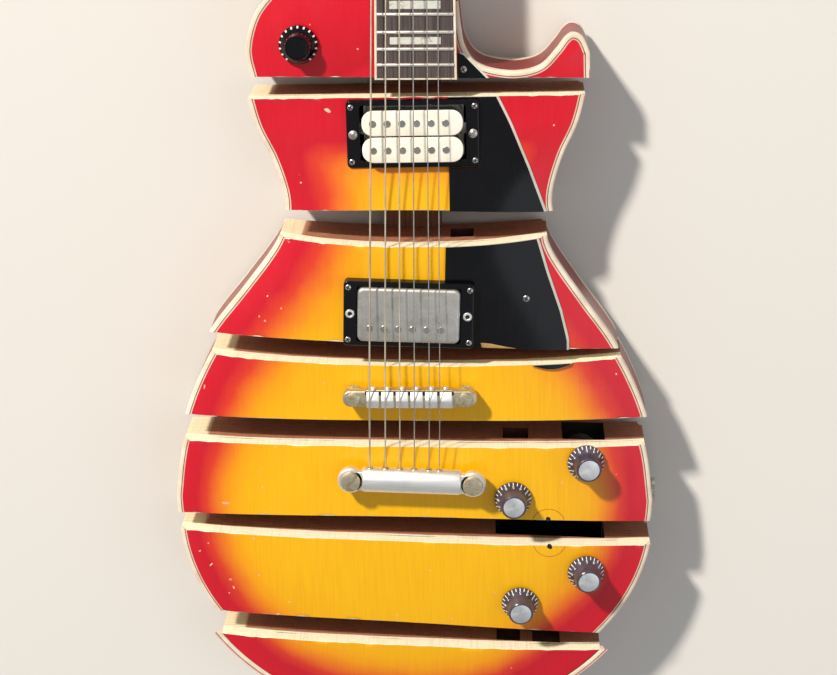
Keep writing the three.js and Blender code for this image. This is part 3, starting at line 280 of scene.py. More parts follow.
# %% [markdown]
# The face is maple under sprayed nitrocellulose lacquer. A sunburst is made with a spray gun held at
# the rim: clear amber in the middle, orange where the coats thin out, and solid cherry red at the
# edge. So the colour follows one number, the distance from the rim, that each slice's mesh carries
# as an attribute called burst. It is 0 at the rim and 1 at 80 mm. Lacquer's IOR is near 1.5, and
# years of playing leave hazy rubs in its gloss, pinholes, and a faint orange peel.

# %% Lacquer on the face
BURST_REACH = 80.0
BURST_STOPS = (
    (0.0, "#cf0f28"), (0.20, "#c41228"), (0.31, "#d43a24"), (0.42, "#e4761a"),
    (0.54, "#ee9e0a"), (0.68, "#f0b004"), (1.0, "#f1b806"),
)


def sprayed_burst():
    material, tree, place = new_material("sprayed_burst_lacquer")
    reach = add_node(tree, "Attribute", {}, output="Fac", attribute_name="burst")
    drift = add_node(tree, "TexNoise", {"Vector": place, "Scale": per_mm(26), "Detail": 3})
    drift = add_node(tree, "MapRange", {"Value": drift, "To Min": -0.055, "To Max": 0.055})
    reach = add_node(tree, "Math", {0: reach, 1: drift}, operation="ADD")
    paint = add_node(tree, "ValToRGB", {"Fac": reach}, stops=BURST_STOPS)
    grain = add_node(tree, "Mapping", {"Vector": place, "Scale": stretch(1.4, 38, 30)})
    grain = add_node(tree, "TexNoise", {"Vector": grain, "Scale": 1, "Detail": 4})
    grain = add_node(tree, "MapRange", {"Value": grain, "From Min": 0.35, "From Max": 0.75,
                                        "To Max": 0.15})
    paint = add_node(tree, "Mix", {0: grain, 6: paint, 7: "#c8741a"}, output=2,
                     data_type="RGBA", blend_type="MULTIPLY")
    pinholes = add_node(tree, "TexVoronoi", {"Vector": place, "Scale": per_mm(14)})
    pinholes = add_node(tree, "MapRange", {"Value": pinholes, "From Min": 0.035, "From Max": 0.06,
                                           "To Min": 1, "To Max": 0})
    paint = add_node(tree, "Mix", {0: pinholes, 6: paint, 7: "#e8b49a"}, output=2, data_type="RGBA")
    rubs = add_node(tree, "Mapping", {"Vector": place, "Scale": stretch(9, 34, 10)})
    rubs = add_node(tree, "TexNoise", {"Vector": rubs, "Scale": 1, "Detail": 5, "Roughness": 0.7})
    gloss = add_node(tree, "MapRange", {"Value": rubs, "From Min": 0.3, "From Max": 0.7,
                                        "To Min": 0.24, "To Max": 0.42})
    peel = add_node(tree, "TexNoise", {"Vector": place, "Scale": per_mm(1.6), "Detail": 2})
    peel = add_node(tree, "Bump", {"Height": peel, "Distance": 0.02 * MM})
    return finish_material(material, {
        "Base Color": paint, "Roughness": gloss, "IOR": 1.5, "Normal": peel,
    })


SPRAYED_BURST = sprayed_burst()

# %% [markdown]
# The sides, the back and the neck are mahogany under cherry red lacquer. It is stained into the
# wood first, so the grain shows darker through it, and it has worn brown where hands and stands rub.

# %% Lacquer on the sides and the neck
def cherry_lacquer():
    material, tree, place = new_material("cherry_lacquer_on_mahogany")
    cloud = add_node(tree, "TexNoise", {"Vector": place, "Scale": per_mm(24), "Detail": 4})
    paint = add_node(tree, "ValToRGB", {"Fac": cloud}, stops=((0.3, "#7a2c2e"), (0.7, "#984038")))
    grain = add_node(tree, "Mapping", {"Vector": place, "Scale": stretch(1.2, 34, 1.4)})
    grain = add_node(tree, "TexNoise", {"Vector": grain, "Scale": 1, "Detail": 4})
    pores = add_node(tree, "MapRange", {"Value": grain, "From Min": 0.5, "From Max": 0.7,
                                        "To Max": 0.45})
    paint = add_node(tree, "Mix", {0: pores, 6: paint, 7: "#4a1a1a"}, output=2, data_type="RGBA")
    rubbed = add_node(tree, "Mapping", {"Vector": place, "Scale": stretch(5, 7, 3)})
    rubbed = add_node(tree, "TexNoise", {"Vector": rubbed, "Scale": 1, "Detail": 4})
    bare = add_node(tree, "MapRange", {"Value": rubbed, "From Min": 0.66, "From Max": 0.72,
                                       "To Max": 0.8})
    paint = add_node(tree, "Mix", {0: bare, 6: paint, 7: "#a8806c"}, output=2, data_type="RGBA")
    gloss = add_node(tree, "MapRange", {"Value": cloud, "From Min": 0.3, "From Max": 0.7,
                                        "To Min": 0.28, "To Max": 0.45})
    relief = add_node(tree, "Bump", {"Height": grain, "Distance": 0.03 * MM})
    return finish_material(material, {
        "Base Color": paint, "Roughness": gloss, "IOR": 1.5, "Normal": relief,
    })


CHERRY_LACQUER = cherry_lacquer()

# %% [markdown]
# Where the saw went through, the wood is bare. The face is a pale maple cap, and the core behind it
# is browner mahogany built up in layers, whose glue lines run across. The saw left fine upright
# scratches, and the cap has come away from the core here and there in thin dark lines. The
# attribute deep tells how far below the face a point lies, in centimetres. Near the bass end of each
# cut the core is painted pale: painted sunlight, where the slice above casts no shadow.

# %% Sawn wood
CAP = 1.3


def sawn_wood():
    material, tree, place = new_material("sawn_maple_and_mahogany")
    deep = add_node(tree, "Attribute", {}, output="Fac", attribute_name="deep")
    wave = add_node(tree, "TexNoise", {"Vector": place, "Scale": per_mm(30), "Detail": 3})
    wave = add_node(tree, "MapRange", {"Value": wave, "To Min": -0.14, "To Max": 0.14})
    line = add_node(tree, "Math", {0: deep, 1: wave}, operation="ADD")
    fibre = add_node(tree, "Mapping", {"Vector": place, "Scale": stretch(9, 9, 0.8)})
    fibre = add_node(tree, "TexNoise", {"Vector": fibre, "Scale": 1, "Detail": 4, "Roughness": 0.6})
    cap = add_node(tree, "ValToRGB", {"Fac": fibre}, stops=((0.3, "#f0e2bd"), (0.7, "#fff8e2")))
    core = add_node(tree, "ValToRGB", {"Fac": fibre},
                    stops=((0.25, "#8a5640"), (0.5, "#a96f54"), (0.8, "#bd8a68")))
    # painted sunlight: near the bass end of a cut the core is painted pale, where the slice above casts
    # no shadow
    painted_sunlit_end = add_node(tree, "Attribute", {}, output="Fac", attribute_name="painted_sunlit_end")
    core = add_node(tree, "Mix", {0: painted_sunlit_end, 6: core, 7: "#f0dfbc"}, output=2, data_type="RGBA")
    under = add_node(tree, "MapRange", {"Value": line, "From Min": CAP - 0.05, "From Max": CAP + 0.05})
    wood = add_node(tree, "Mix", {0: under, 6: cap, 7: core}, output=2, data_type="RGBA")
    plies = add_node(tree, "Mapping", {"Vector": place, "Scale": stretch(400, 400, 9)})
    plies = add_node(tree, "TexWave", {"Vector": plies, "Scale": 1, "Distortion": 1.2, "Detail": 2},
                     output="Fac", bands_direction="Z")
    glue = add_node(tree, "MapRange", {"Value": plies, "From Min": 0.82, "From Max": 0.95,
                                       "To Max": 0.35})
    glue = add_node(tree, "Math", {0: glue, 1: under}, operation="MULTIPLY")
    wood = add_node(tree, "Mix", {0: glue, 6: wood, 7: "#6b4530"}, output=2,
                    data_type="RGBA", blend_type="MULTIPLY")
    saw = add_node(tree, "Mapping", {"Vector": place, "Scale": stretch(0.9, 2, 40)})
    saw = add_node(tree, "TexNoise", {"Vector": saw, "Scale": 1, "Detail": 3, "Roughness": 0.6})
    scratch = add_node(tree, "MapRange", {"Value": saw, "From Min": 0.5, "From Max": 0.75,
                                          "To Max": 0.2})
    wood = add_node(tree, "Mix", {0: scratch, 6: wood, 7: "#5a3a28"}, output=2,
                    data_type="RGBA", blend_type="MULTIPLY")
    near = add_node(tree, "Math", {0: line, 1: CAP - 0.3}, operation="SUBTRACT")
    near = add_node(tree, "Math", {0: near}, operation="ABSOLUTE")
    near = add_node(tree, "MapRange", {"Value": near, "From Min": 0.02, "From Max": 0.05,
                                       "To Min": 1, "To Max": 0})
    split = add_node(tree, "TexNoise", {"Vector": place, "Scale": per_mm(60), "Detail": 2})
    split = add_node(tree, "MapRange", {"Value": split, "From Min": 0.55, "From Max": 0.60})
    gap = add_node(tree, "Math", {0: near, 1: split}, operation="MULTIPLY")
    wood = add_node(tree, "Mix", {0: gap, 6: wood, 7: "#4a4038"}, output=2, data_type="RGBA")
    relief = add_node(tree, "Bump", {"Height": saw, "Distance": 0.25 * MM})
    return finish_material(material, {"Base Color": wood, "Roughness": 0.85, "Normal": relief})


SAWN_WOOD = sawn_wood()

# %% [markdown]
# The control and pickup hollows are painted with black shielding paint, which holds carbon and dries
# dead matt. The same black also serves as painted shade in screw slots, in the height screws' hollow
# tops, in the bridge's trough and in an old hole. The wires' tunnels between the hollows were only
# drilled; their brown wood is painted darker than the sawn faces, as shade inside them. A splinter
# that the saw tore up is as matt, in maple's colours.

# %% Hollows and torn wood
def matt_hollow(name, dark, light):
    material, tree, place = new_material(name)
    cloud = add_node(tree, "TexNoise", {"Vector": place, "Scale": per_mm(10), "Detail": 4})
    paint = add_node(tree, "ValToRGB", {"Fac": cloud}, stops=((0.3, dark), (0.8, light)))
    grit = add_node(tree, "TexNoise", {"Vector": place, "Scale": per_mm(2)})
    grit = add_node(tree, "Bump", {"Height": grit, "Distance": 0.1 * MM})
    return finish_material(material, {"Base Color": paint, "Roughness": 0.8, "Normal": grit})


# black shielding paint in the hollows, and painted shade in slots, holes and the bridge's trough
SHIELDING_PAINT_AND_SHADE = matt_hollow("shielding_paint_and_painted_shade", "#0c0a09", "#1c1613")
# painted shade: drilled mahogany, coloured much darker than the sawn faces
TUNNEL_IN_SHADE = matt_hollow("drilled_mahogany_in_painted_shade", "#3a2019", "#54301f")
TORN_MAPLE = matt_hollow("torn_maple", "#8f6a3e", "#cfa468")

# %% [markdown]
# The plastics are celluloid on the edges, and moulded ABS elsewhere. Old plastic is cloudy, gathers
# brown dirt in small patches, and is dulled by fine scratches, each of which catches the light.

# %% Plastics
def old_plastic(name, colour, cloudy, dirt="#8a7254", dirty=0.4, gloss=0.3, dull=0.5, glow=0.0,
                shine=0.5):
    material, tree, place = new_material(name)
    cloud = add_node(tree, "TexNoise", {"Vector": place, "Scale": per_mm(14), "Detail": 4})
    body = add_node(tree, "ValToRGB", {"Fac": cloud}, stops=((0.35, cloudy), (0.65, colour)))
    grime = add_node(tree, "TexNoise", {"Vector": place, "Scale": per_mm(3), "Detail": 5,
                                        "Roughness": 0.7})
    patch = add_node(tree, "MapRange", {"Value": grime, "From Min": 0.60, "From Max": 0.72,
                                        "To Max": dirty})
    body = add_node(tree, "Mix", {0: patch, 6: body, 7: dirt}, output=2, data_type="RGBA")
    scratch = add_node(tree, "Mapping", {"Vector": place, "Rotation": (0, 0, 0.6),
                                         "Scale": stretch(0.25, 30, 30)})
    scratch = add_node(tree, "TexNoise", {"Vector": scratch, "Scale": 1, "Detail": 2})
    worn = add_node(tree, "MapRange", {"Value": scratch, "From Min": 0.45, "From Max": 0.7,
                                       "To Min": gloss, "To Max": dull})
    relief = add_node(tree, "Bump", {"Height": scratch, "Distance": 0.008 * MM})
    return finish_material(material, {
        "Base Color": body, "Roughness": worn, "IOR": 1.5, "Normal": relief, "Specular IOR Level": shine,
        "Subsurface Weight": glow, "Subsurface Scale": 2 * MM,
    })


BINDING = old_plastic("cream_celluloid", "#eee3cf", "#ddcbb4", glow=0.08)
PURFLING = old_plastic("dark_purfling", "#7d4a48", "#683a3a")
INNER_LINE = old_plastic("pale_purfling", "#e9c3ae", "#d9ab98")
BLACK_ABS = old_plastic("black_abs", "#08090f", "#05060b", "#1d1e26", 0.3, 0.1, 0.24, shine=0.32)
WHITE_PLY = old_plastic("white_ply", "#e6e4da", "#cfccc0", dirty=0.3)
CREAM_ABS = old_plastic("cream_abs", "#fbf8ec", "#efe9d8", dirty=0.25, gloss=0.25, glow=0.1)
BONE = old_plastic("bone", "#ede2c4", "#dccda6", glow=0.1)

# %% [markdown]
# The metals are nickel plate on brass and zinc, nickel silver frets and steel. Plate goes cloudy
# where hands rest, so its roughness varies, and where it wears through the yellower metal shows.

# %% Metals
def old_metal(name, bright, tarnish, gloss=0.18, dull=0.42, tarnished=0.8, patch_mm=9.0):
    material, tree, place = new_material(name)
    cloud = add_node(tree, "TexNoise", {"Vector": place, "Scale": per_mm(patch_mm), "Detail": 5,
                                        "Roughness": 0.65})
    spread = add_node(tree, "MapRange", {"Value": cloud, "From Min": 0.42, "From Max": 0.68,
                                         "To Max": tarnished})
    colour = add_node(tree, "Mix", {0: spread, 6: bright, 7: tarnish}, output=2, data_type="RGBA")
    polish = add_node(tree, "Mapping", {"Vector": place, "Scale": stretch(22, 0.5, 0.5)})
    polish = add_node(tree, "TexNoise", {"Vector": polish, "Scale": 1, "Detail": 3})
    blur = add_node(tree, "Math", {0: polish, 1: cloud}, operation="MULTIPLY")
    blur = add_node(tree, "MapRange", {"Value": blur, "From Min": 0.12, "From Max": 0.4,
                                       "To Min": gloss, "To Max": dull})
    relief = add_node(tree, "Bump", {"Height": polish, "Distance": 0.015 * MM})
    return finish_material(material, {
        "Base Color": colour, "Metallic": 1.0, "Roughness": blur, "Normal": relief,
    })


NICKEL = old_metal("nickel_plate", "#cfccc4", "#a39c8e")
DULL_NICKEL = old_metal("rubbed_nickel", "#d6d5d2", "#aeaaa2", 0.42, 0.6)
BRIGHT_PLATE = old_metal("bright_plate", "#fafbfc", "#dcdcd8", 0.42, 0.6, 0.4)
WORN_PLATE = old_metal("plate_worn_to_brass", "#ddd6bf", "#b39a6c", 0.36, 0.55, 0.8, 4.0)
FRET_METAL = old_metal("nickel_silver", "#f2ede6", "#cfc6ba", 0.38, 0.55, 0.6, 4.0)
STEEL = old_metal("plain_steel", "#cfcfcd", "#8c867c", 0.2, 0.4, 0.5, 5.0)
DARK_STEEL = old_metal("zinc_gone_dark", "#4c4946", "#2a2623", 0.4, 0.6, 0.7, 5.0)

# %% [markdown]
# A slice is a block whose six sides are grids. Its columns keep to the body's outline, its rows run
# from one saw cut to the next, and its levels go from the back to the face. The rim is a little
# rounded by the scraper that trims the binding, and the sawn edges are nibbled where the lacquer
# chipped away from the saw.

# %% Mesh helpers
def make_piece(name, points, faces, *materials, body="guitar", face_kind=None, smooth=30):
    """A mesh piece from points in the frame, in metres, that rides on a CAD body."""
    mesh = bpy.data.meshes.new(name)
    mesh.from_pydata([tuple(p) for p in points], [], [tuple(int(i) for i in f) for f in faces])
    piece = bpy.data.objects.new(name, mesh)
    bpy.context.scene.collection.objects.link(piece)
    for material in materials:
        mesh.materials.append(material)
    if face_kind is not None:
        mesh.polygons.foreach_set("material_index", np.asarray(face_kind, np.int32))
    mesh.update()
    shade(piece, smooth)
    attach(piece, body)
    return piece


def shade(piece, angle):
    """Smooth shading, with edges sharper than the angle, in degrees, left sharp."""
    mesh = piece.data
    if mesh.polygons:
        mesh.shade_smooth()
        mesh.set_sharp_from_angle(angle=math.radians(angle))


def cut_away(piece, *tools, angle=35):
    """Cuts the tools out of the piece, throws them away and shades what is left."""
    for tool in tools:
        cut = piece.modifiers.new("cut", "BOOLEAN")
        cut.object = tool
        cut.operation = "DIFFERENCE"
        cut.solver = "EXACT"
        cut.material_mode = "TRANSFER"
    graph = bpy.context.evaluated_depsgraph_get()
    whole, piece.data = piece.data, bpy.data.meshes.new_from_object(piece.evaluated_get(graph))
    piece.modifiers.clear()
    bpy.data.meshes.remove(whole)
    for tool in tools:
        bpy.data.objects.remove(tool)
    shade(piece, angle)


def turn_faces_out(piece, weld=0):
    """Joins points that lie closer than weld, in metres, and turns every face outwards."""
    made = bmesh.new()
    made.from_mesh(piece.data)
    if weld:
        bmesh.ops.remove_doubles(made, verts=made.verts, dist=weld)
    bmesh.ops.recalc_face_normals(made, faces=made.faces)
    made.to_mesh(piece.data)
    made.free()


def vertex_places(mesh):
    """Where a mesh's vertices are, as rows of x, y and z in metres."""
    co = np.empty(len(mesh.vertices) * 3)
    mesh.vertices.foreach_get("co", co)
    return co.reshape(-1, 3)


def write_attribute(mesh, name, values):
    """A number for each vertex, which a material reads by its name."""
    layer = mesh.attributes.new(name, "FLOAT", "POINT")
    layer.data.foreach_set("value", values.astype(np.float32))


def cutting_block(corner_low, corner_high, index, material):
    """A block in the unsawn body's place, carried by a slice's seat."""
    (x0, y0, z0), (x1, y1, z1) = corner_low, corner_high
    corners = [(x, y, z) for x in (x0, x1) for y in (y0, y1) for z in (z0, z1)]
    faces = ((0, 1, 3, 2), (4, 6, 7, 5), (0, 4, 5, 1), (2, 3, 7, 6), (0, 2, 6, 4), (1, 5, 7, 3))
    mesh = bpy.data.meshes.new("tool")
    mesh.from_pydata([tuple(p) for p in to_frame(corners, index)], [], faces)
    mesh.materials.append(material)
    tool = bpy.data.objects.new("tool", mesh)
    bpy.context.scene.collection.objects.link(tool)
    return tool


print("rim thickness in the frame", round(RIM * MM, 4), "m")

# %% One slice as grids
COLUMNS, ROWS = 96, 26
SCRAPED = 0.9
LEVELS = (                       # height above the back, or below the face, and how far it is drawn in
    ("back", 0.0, 1.2), ("back", 0.35, 0.35), ("back", 1.2, 0.0), ("back", 8.0, 0.0),
    ("back", 16.0, 0.0), ("back", 24.0, 0.0), ("back", 32.0, 0.0), ("face", 10.0, 0.0),
    ("face", 7.0, 0.0), ("face", 4.0, 0.0), ("face", SCRAPED, 0.0),
    ("face", 0.3 * SCRAPED, 0.3 * SCRAPED), ("face", 0.0, SCRAPED),
)


def nibbles(count, seed, often=0.16, deepest=1.0):
    """How far each point of a sawn edge is chipped back, in millimetres."""
    rng = np.random.default_rng(seed)
    rough = rng.uniform(0.02, 0.16, count)
    chips = (rng.uniform(0, 1, count) < often) * rng.uniform(0.2, deepest, count)
    return np.convolve(rough + chips, (0.25, 0.5, 0.25), mode="same")


def carved_slice(index):
    """Points (levels, rows, columns) of a slice, in the unsawn body's place."""
    above, below = CUTS[index - 1], CUTS[index] if index < len(CUTS) else None
    tail = below is None
    lean = np.sin(np.linspace(-math.pi / 2, math.pi / 2, COLUMNS + 1))
    spread = np.linspace(-1, 1, COLUMNS + 1)
    u = 0.65 * spread + 0.35 * lean
    v = np.linspace(0, 1, ROWS + 1)
    if tail:
        v = np.sin(v * math.pi / 2)
    points = np.zeros((len(LEVELS), ROWS + 1, COLUMNS + 1, 3))
    chip_above, chip_below = nibbles(COLUMNS + 1, 2 * index), nibbles(COLUMNS + 1, 2 * index + 1)
    for level, (side, step, inset) in enumerate(LEVELS):
        y = np.full((ROWS + 1, COLUMNS + 1), (above["y"] + (below["y"] if below else TAIL_Y)) / 2)
        for _ in range(14):
            width = np.maximum(half_width(y) - inset, 0.5)
            x = MIDDLE + u * width
            start = edge_y(above, "under", x)
            end = np.full_like(x, TAIL_Y + inset) if tail else edge_y(below, "over", x)
            if (side, step) == ("face", 0.0):
                start = start - chip_above
                end = end if tail else end + chip_below
            y = start + (end - start) * v[:, None]
        top = top_height(x, y)
        z = np.full_like(top, step) if side == "back" else top - step
        points[level] = np.stack((x, y, z), axis=-1)
    return points


def grid_faces(order, flip=False):
    """Quads over a grid of point numbers."""
    a, b, c, d = order[:-1, :-1], order[:-1, 1:], order[1:, 1:], order[1:, :-1]
    quads = np.stack((a, b, c, d), axis=-1).reshape(-1, 4)
    return quads[:, ::-1] if flip else quads


def tube_faces(rings, around, ends=True):
    """Faces that join rings of points, one after the other, and close the two ends."""
    order = np.arange(rings * around).reshape(rings, around)
    faces = [tuple(f) for f in grid_faces(np.concatenate((order, order[:, :1]), axis=1))]
    return faces + [tuple(order[0][::-1]), tuple(order[-1])] if ends else faces


def block_from_grids(points, kinds=(0, 1, 1, 1, 2, 2)):
    """Faces of a levels x rows x columns block; kinds are the finishes of its face, back, left
    side, right side, and its ends at the first row and at the last."""
    levels, rows, columns, _ = points.shape
    order = np.arange(levels * rows * columns).reshape(levels, rows, columns)
    groups = (
        grid_faces(order[-1], True), grid_faces(order[0]),
        grid_faces(order[:, :, 0]), grid_faces(order[:, :, -1], True),
        grid_faces(order[:, 0, :], True), grid_faces(order[:, -1, :]),
    )
    faces = np.concatenate(groups)
    kinds = np.concatenate([np.full(len(group), kind) for group, kind in zip(groups, kinds)])
    used, renumbered = np.unique(faces, return_inverse=True)
    return points.reshape(-1, 3)[used], renumbered.reshape(-1, 4), kinds


block = carved_slice(3)
print("a slice's grid", block.shape[:3], "spans", np.ptp(block.reshape(-1, 3), axis=0).round(1), "mm")

# %% [markdown]
# The upper slice is different: its face is flat, and its outline runs round the shoulder, over the
# neck joint and round the horn of the cutaway. It is drawn as one closed line, and stacked in the
# same levels as the others.

# %% The upper slice
def upper_outline():
    """The line round the upper slice, and the numbers where its runs start."""
    cut = CUTS[0]
    left, right = MIDDLE - half_width(cut["y"]), MIDDLE + half_width(cut["y"])
    shoulder = smooth_run(((left, edge_y(cut, "over", left)), *SHOULDER), 12)
    horn = smooth_run(CUTAWAY, 10)
    sawn_x = np.linspace(right, left, COLUMNS + 1)
    sawn = np.stack((sawn_x, edge_y(cut, "over", sawn_x)), axis=-1)
    return np.concatenate((shoulder, horn, sawn[:-1])), len(shoulder), len(shoulder) + len(horn)


def outward(line, closed=True):
    """Unit vectors that point out of a line that runs clockwise round what it encloses."""
    before = np.roll(line, 1, axis=0)
    after = np.roll(line, -1, axis=0)
    if not closed:
        before[0], after[-1] = line[0], line[-1]
    along = after - before
    along /= np.maximum(np.linalg.norm(along, axis=1, keepdims=True), 1e-9)
    return np.stack((-along[:, 1], along[:, 0]), axis=-1)


def upper_slice():
    line, horn_start, sawn_start = upper_outline()
    out = outward(line)
    chips = np.zeros(len(line))
    chips[sawn_start:] = nibbles(len(line) - sawn_start, 1, 0.22, 1.4)
    count = len(line)
    points, faces, kinds = [], [], []
    for level, (side, step, inset) in enumerate(LEVELS):
        back = np.where(np.arange(count) >= sawn_start, 0.0, inset)
        if (side, step) == ("face", 0.0):
            back = back + chips
        z = step if side == "back" else RIM - step
        ring = line - out * back[:, None]
        points.append(np.column_stack((ring, np.full(count, z))))
        if level:
            for i in range(count):
                j = (i + 1) % count
                a, b = (level - 1) * count, level * count
                faces.append((a + j, a + i, b + i, b + j))
                kinds.append(2 if i >= sawn_start else 1)
    last = (len(LEVELS) - 1) * count
    faces += [tuple(range(last + count - 1, last - 1, -1)), tuple(range(count))]
    kinds += [0, 1]
    return np.concatenate(points), faces, kinds


points, faces, kinds = upper_slice()
print("upper slice", len(points), "points round", len(upper_outline()[0]), "places")

# %% [markdown]
# Each vertex then learns three things about where it was in the whole body: how far it lies from the
# rim, for the burst, how deep it lies under the face, for the cap, and how near it lies to the bass
# end of a cut, for the painted sunlight there. The burst was sprayed as an oval, so it also closes in
# towards the neck.

# %% Burst and depth
TAIL_TURN = np.linspace(0, math.pi / 2, 60)[1:]
LEFT_EDGE = np.array([(MIDDLE - half_width(y), y) for y in np.arange(0.0, BOUT_Y - 1, -3)])
TAIL_EDGE = np.stack((MIDDLE - BOUT * np.cos(TAIL_TURN), BOUT_Y - TAIL_LENGTH * np.sin(TAIL_TURN)), -1)
HALF_EDGE = np.concatenate((LEFT_EDGE, TAIL_EDGE))
SUNLIT_END, SUNLIT_FADE = 16.0, 1.5    # painted sunlight: pale sawn wood at the bass end of each cut
BURST_TOP, BURST_SOFT = -19.0, 16.0  # the oval's end towards the neck, and how round it is there
END_STEEPER = 1.25                   # the colours lie closer together at that end
BROADER_PLACES = (-330, -260, -200)  # on the treble side the red is broader near the tail
TREBLE_BROADER = (9.0, 2.0, -3.0)
TREBLE_STARTS, TREBLE_GROWS = 40, 60
RED_PLACES = (-390, -330, -250, -185, -120)
RED_NARROWER = (0.85, 1.1, 1.15, 0.92, 0.86)


def rim_distance(x, y):
    """Distance from the unsawn body's rim, in millimetres."""
    p = np.stack((MIDDLE - np.abs(x - MIDDLE), y), axis=-1)[:, None, :]
    a, b = HALF_EDGE[None, :-1], HALF_EDGE[None, 1:]
    ab = b - a
    t = np.clip(((p - a) * ab).sum(-1) / np.maximum((ab**2).sum(-1), 1e-9), 0, 1)
    return np.linalg.norm(p - a - ab * t[..., None], axis=-1).min(axis=1)


def burst_of(x, y):
    """The burst's number: 0 at the oval's rim and 1 well inside it."""
    rim = rim_distance(x, y) * np.interp(y, RED_PLACES, RED_NARROWER)
    treble = np.clip((x - TREBLE_STARTS) / TREBLE_GROWS, 0, 1)
    rim = rim - np.interp(y, BROADER_PLACES, TREBLE_BROADER) * treble
    end = (BURST_TOP - y) * END_STEEPER
    mixed = np.clip(0.5 + 0.5 * (end - rim) / BURST_SOFT, 0, 1)
    closest = end * (1 - mixed) + rim * mixed - BURST_SOFT * mixed * (1 - mixed)
    return np.clip(closest / BURST_REACH, 0, 1)


def tell_vertices(piece, index):
    """Writes the numbers that the lacquer and the sawn wood read."""
    p = to_body(vertex_places(piece.data), index)
    burst = np.zeros(len(p)) if index == 0 else burst_of(p[:, 0], p[:, 1])
    face = surface_z(index, p[:, 0], p[:, 1])
    # painted sunlight: how near the bass end of a cut the sawn face is painted pale
    from_bass_edge = p[:, 0] - MIDDLE + half_width(p[:, 1])
    painted_sunlit_end = np.clip((SUNLIT_END - from_bass_edge) / SUNLIT_FADE, 0, 1) * (index > 0)
    for name, values in (("burst", burst), ("deep", (face - p[:, 2]) / 10), ("painted_sunlit_end", painted_sunlit_end)):
        write_attribute(piece.data, name, values)


# %% [markdown]
# Wells for the pickups, the hollow for the controls, the wires' tunnels and the jack's bore were all
# routed before the saw came, so they are cut out of each slice as blocks. A narrow one is a tunnel.

# %% Hollows and slices
CEILING = RIM - 8                # the face over a hollow is 8 mm thick at the rim
WELL_FLOOR, OPEN_TOP = RIM - 26, 90
CONTROLS = ((59, -321, -5), (137, -221, CEILING))
HOLLOWS = {
    1: [((-43.8, -46.8, WELL_FLOOR), (44.2, -5.4, OPEN_TOP)), ((27, -100, 13), (43, -40, 34))],
    2: [((-43.4, -152.7, WELL_FLOOR), (44.6, -111.3, OPEN_TOP)), ((27, -120, 13), (43, -60, 34))],
    3: [((107, -210, 14), (137, -195.5, CEILING))],
    4: [CONTROLS, ((107, -222, 4), (137, -190, CEILING)), ((65, -222, 18), (83, -190, CEILING)),
        ((155, -249, 20), (175, -243, 28))],
    5: [CONTROLS, ((62, -345, 14), (79, -319, CEILING)), ((88, -345, 14), (108, -319, CEILING))],
    6: [((62, -335, 14), (79, -319, CEILING)), ((88, -335, 14), (108, -319, CEILING))],
}
TUNNEL = 21                      # a hollow narrower than this is a wires' tunnel
for index in range(len(SEATS)):
    points, faces, kinds = block_from_grids(carved_slice(index)) if index else upper_slice()
    piece = make_piece(f"sliced_body_{index + 1}", to_frame(points, index), faces, SPRAYED_BURST,
                       CHERRY_LACQUER, SAWN_WOOD, SHIELDING_PAINT_AND_SHADE, face_kind=kinds)
    if index in HOLLOWS:
        # hollows take black shielding paint; tunnels take brown wood darkened with painted shade
        cut_away(piece, *[
            cutting_block(low, high, index, TUNNEL_IN_SHADE if high[0] - low[0] < TUNNEL else SHIELDING_PAINT_AND_SHADE)
            for low, high in HOLLOWS[index]
        ], angle=30)
    tell_vertices(piece, index)
    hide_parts(f"slice_{index + 1}")
    print(piece.name, len(piece.data.polygons), "faces")

# %% [markdown]
# Cream celluloid binding is glued round the face and the back, to guard the edge. It is a strip set
# into the corner and scraped nearly flush, so it stands a hair proud. Inside it on the face runs a
# thin dark and cream line, the purfling. Old celluloid goes yellow and its edge looks a little soft.

# %% Binding
PROUD = 0.12


def side_path(index, right):
    """The body's edge along one slice, from the cut above it to the cut below it."""
    sign = 1 if right else -1
    if index == 0:
        line, horn_start, sawn_start = upper_outline()
        return line[horn_start:sawn_start + 1] if right else line[:horn_start - 12]
    above, below = CUTS[index - 1], CUTS[index] if index < len(CUTS) else None
    t = np.linspace(0, 1, (60 if below is None else 22) + 1)
    y = np.full(len(t), float(above["y"]))
    for _ in range(20):
        x = MIDDLE + sign * half_width(y)
        start = edge_y(above, "under", x)
        end = np.full_like(x, TAIL_Y) if below is None else edge_y(below, "over", x)
        along = t if below is not None else np.sin(t * math.pi / 2)
        y = start + (end - start) * along
    return np.stack((MIDDLE + sign * half_width(y), y), axis=-1)


def edge_paths(index):
    """The slice's edges that carry binding; the last slice has one edge, all round its tail."""
    if index == len(SEATS) - 1:
        left, right = side_path(index, False), side_path(index, True)
        return [np.concatenate((right, left[-2::-1]))[::-1]]
    if index == 0:
        return [side_path(0, False), side_path(0, True)]
    return [side_path(index, False)[::-1], side_path(index, True)]


def strip(name, index, path, section, material):
    """A strip along a path; section is (distance in from the edge, height, 'face' or 'back')."""
    out = outward(path, closed=False)
    rings = []
    for inset, height, side in section:
        p = path - out * inset
        for end, step in ((0, 1), (-1, -2)):
            cut = nearest_cut(index, path[end])
            if cut is None:
                continue
            along = path[end] - path[step]
            along = along / np.linalg.norm(along)
            for _ in range(4):
                miss = edge_y(*cut, p[end, 0]) - p[end, 1]
                p[end] += along * (miss / (along[1] if abs(along[1]) > 0.2 else 0.2))
            p[end] += along * PROUD * 0.5
        z = np.full(len(p), height) if side == "back" else surface_z(index, p[:, 0], p[:, 1]) + height
        rings.append(np.column_stack((p, z)))
    rings = np.stack(rings, axis=1)
    piece = make_piece(name, to_frame(rings, index), tube_faces(*rings.shape[:2]), material, smooth=40)
    turn_faces_out(piece)


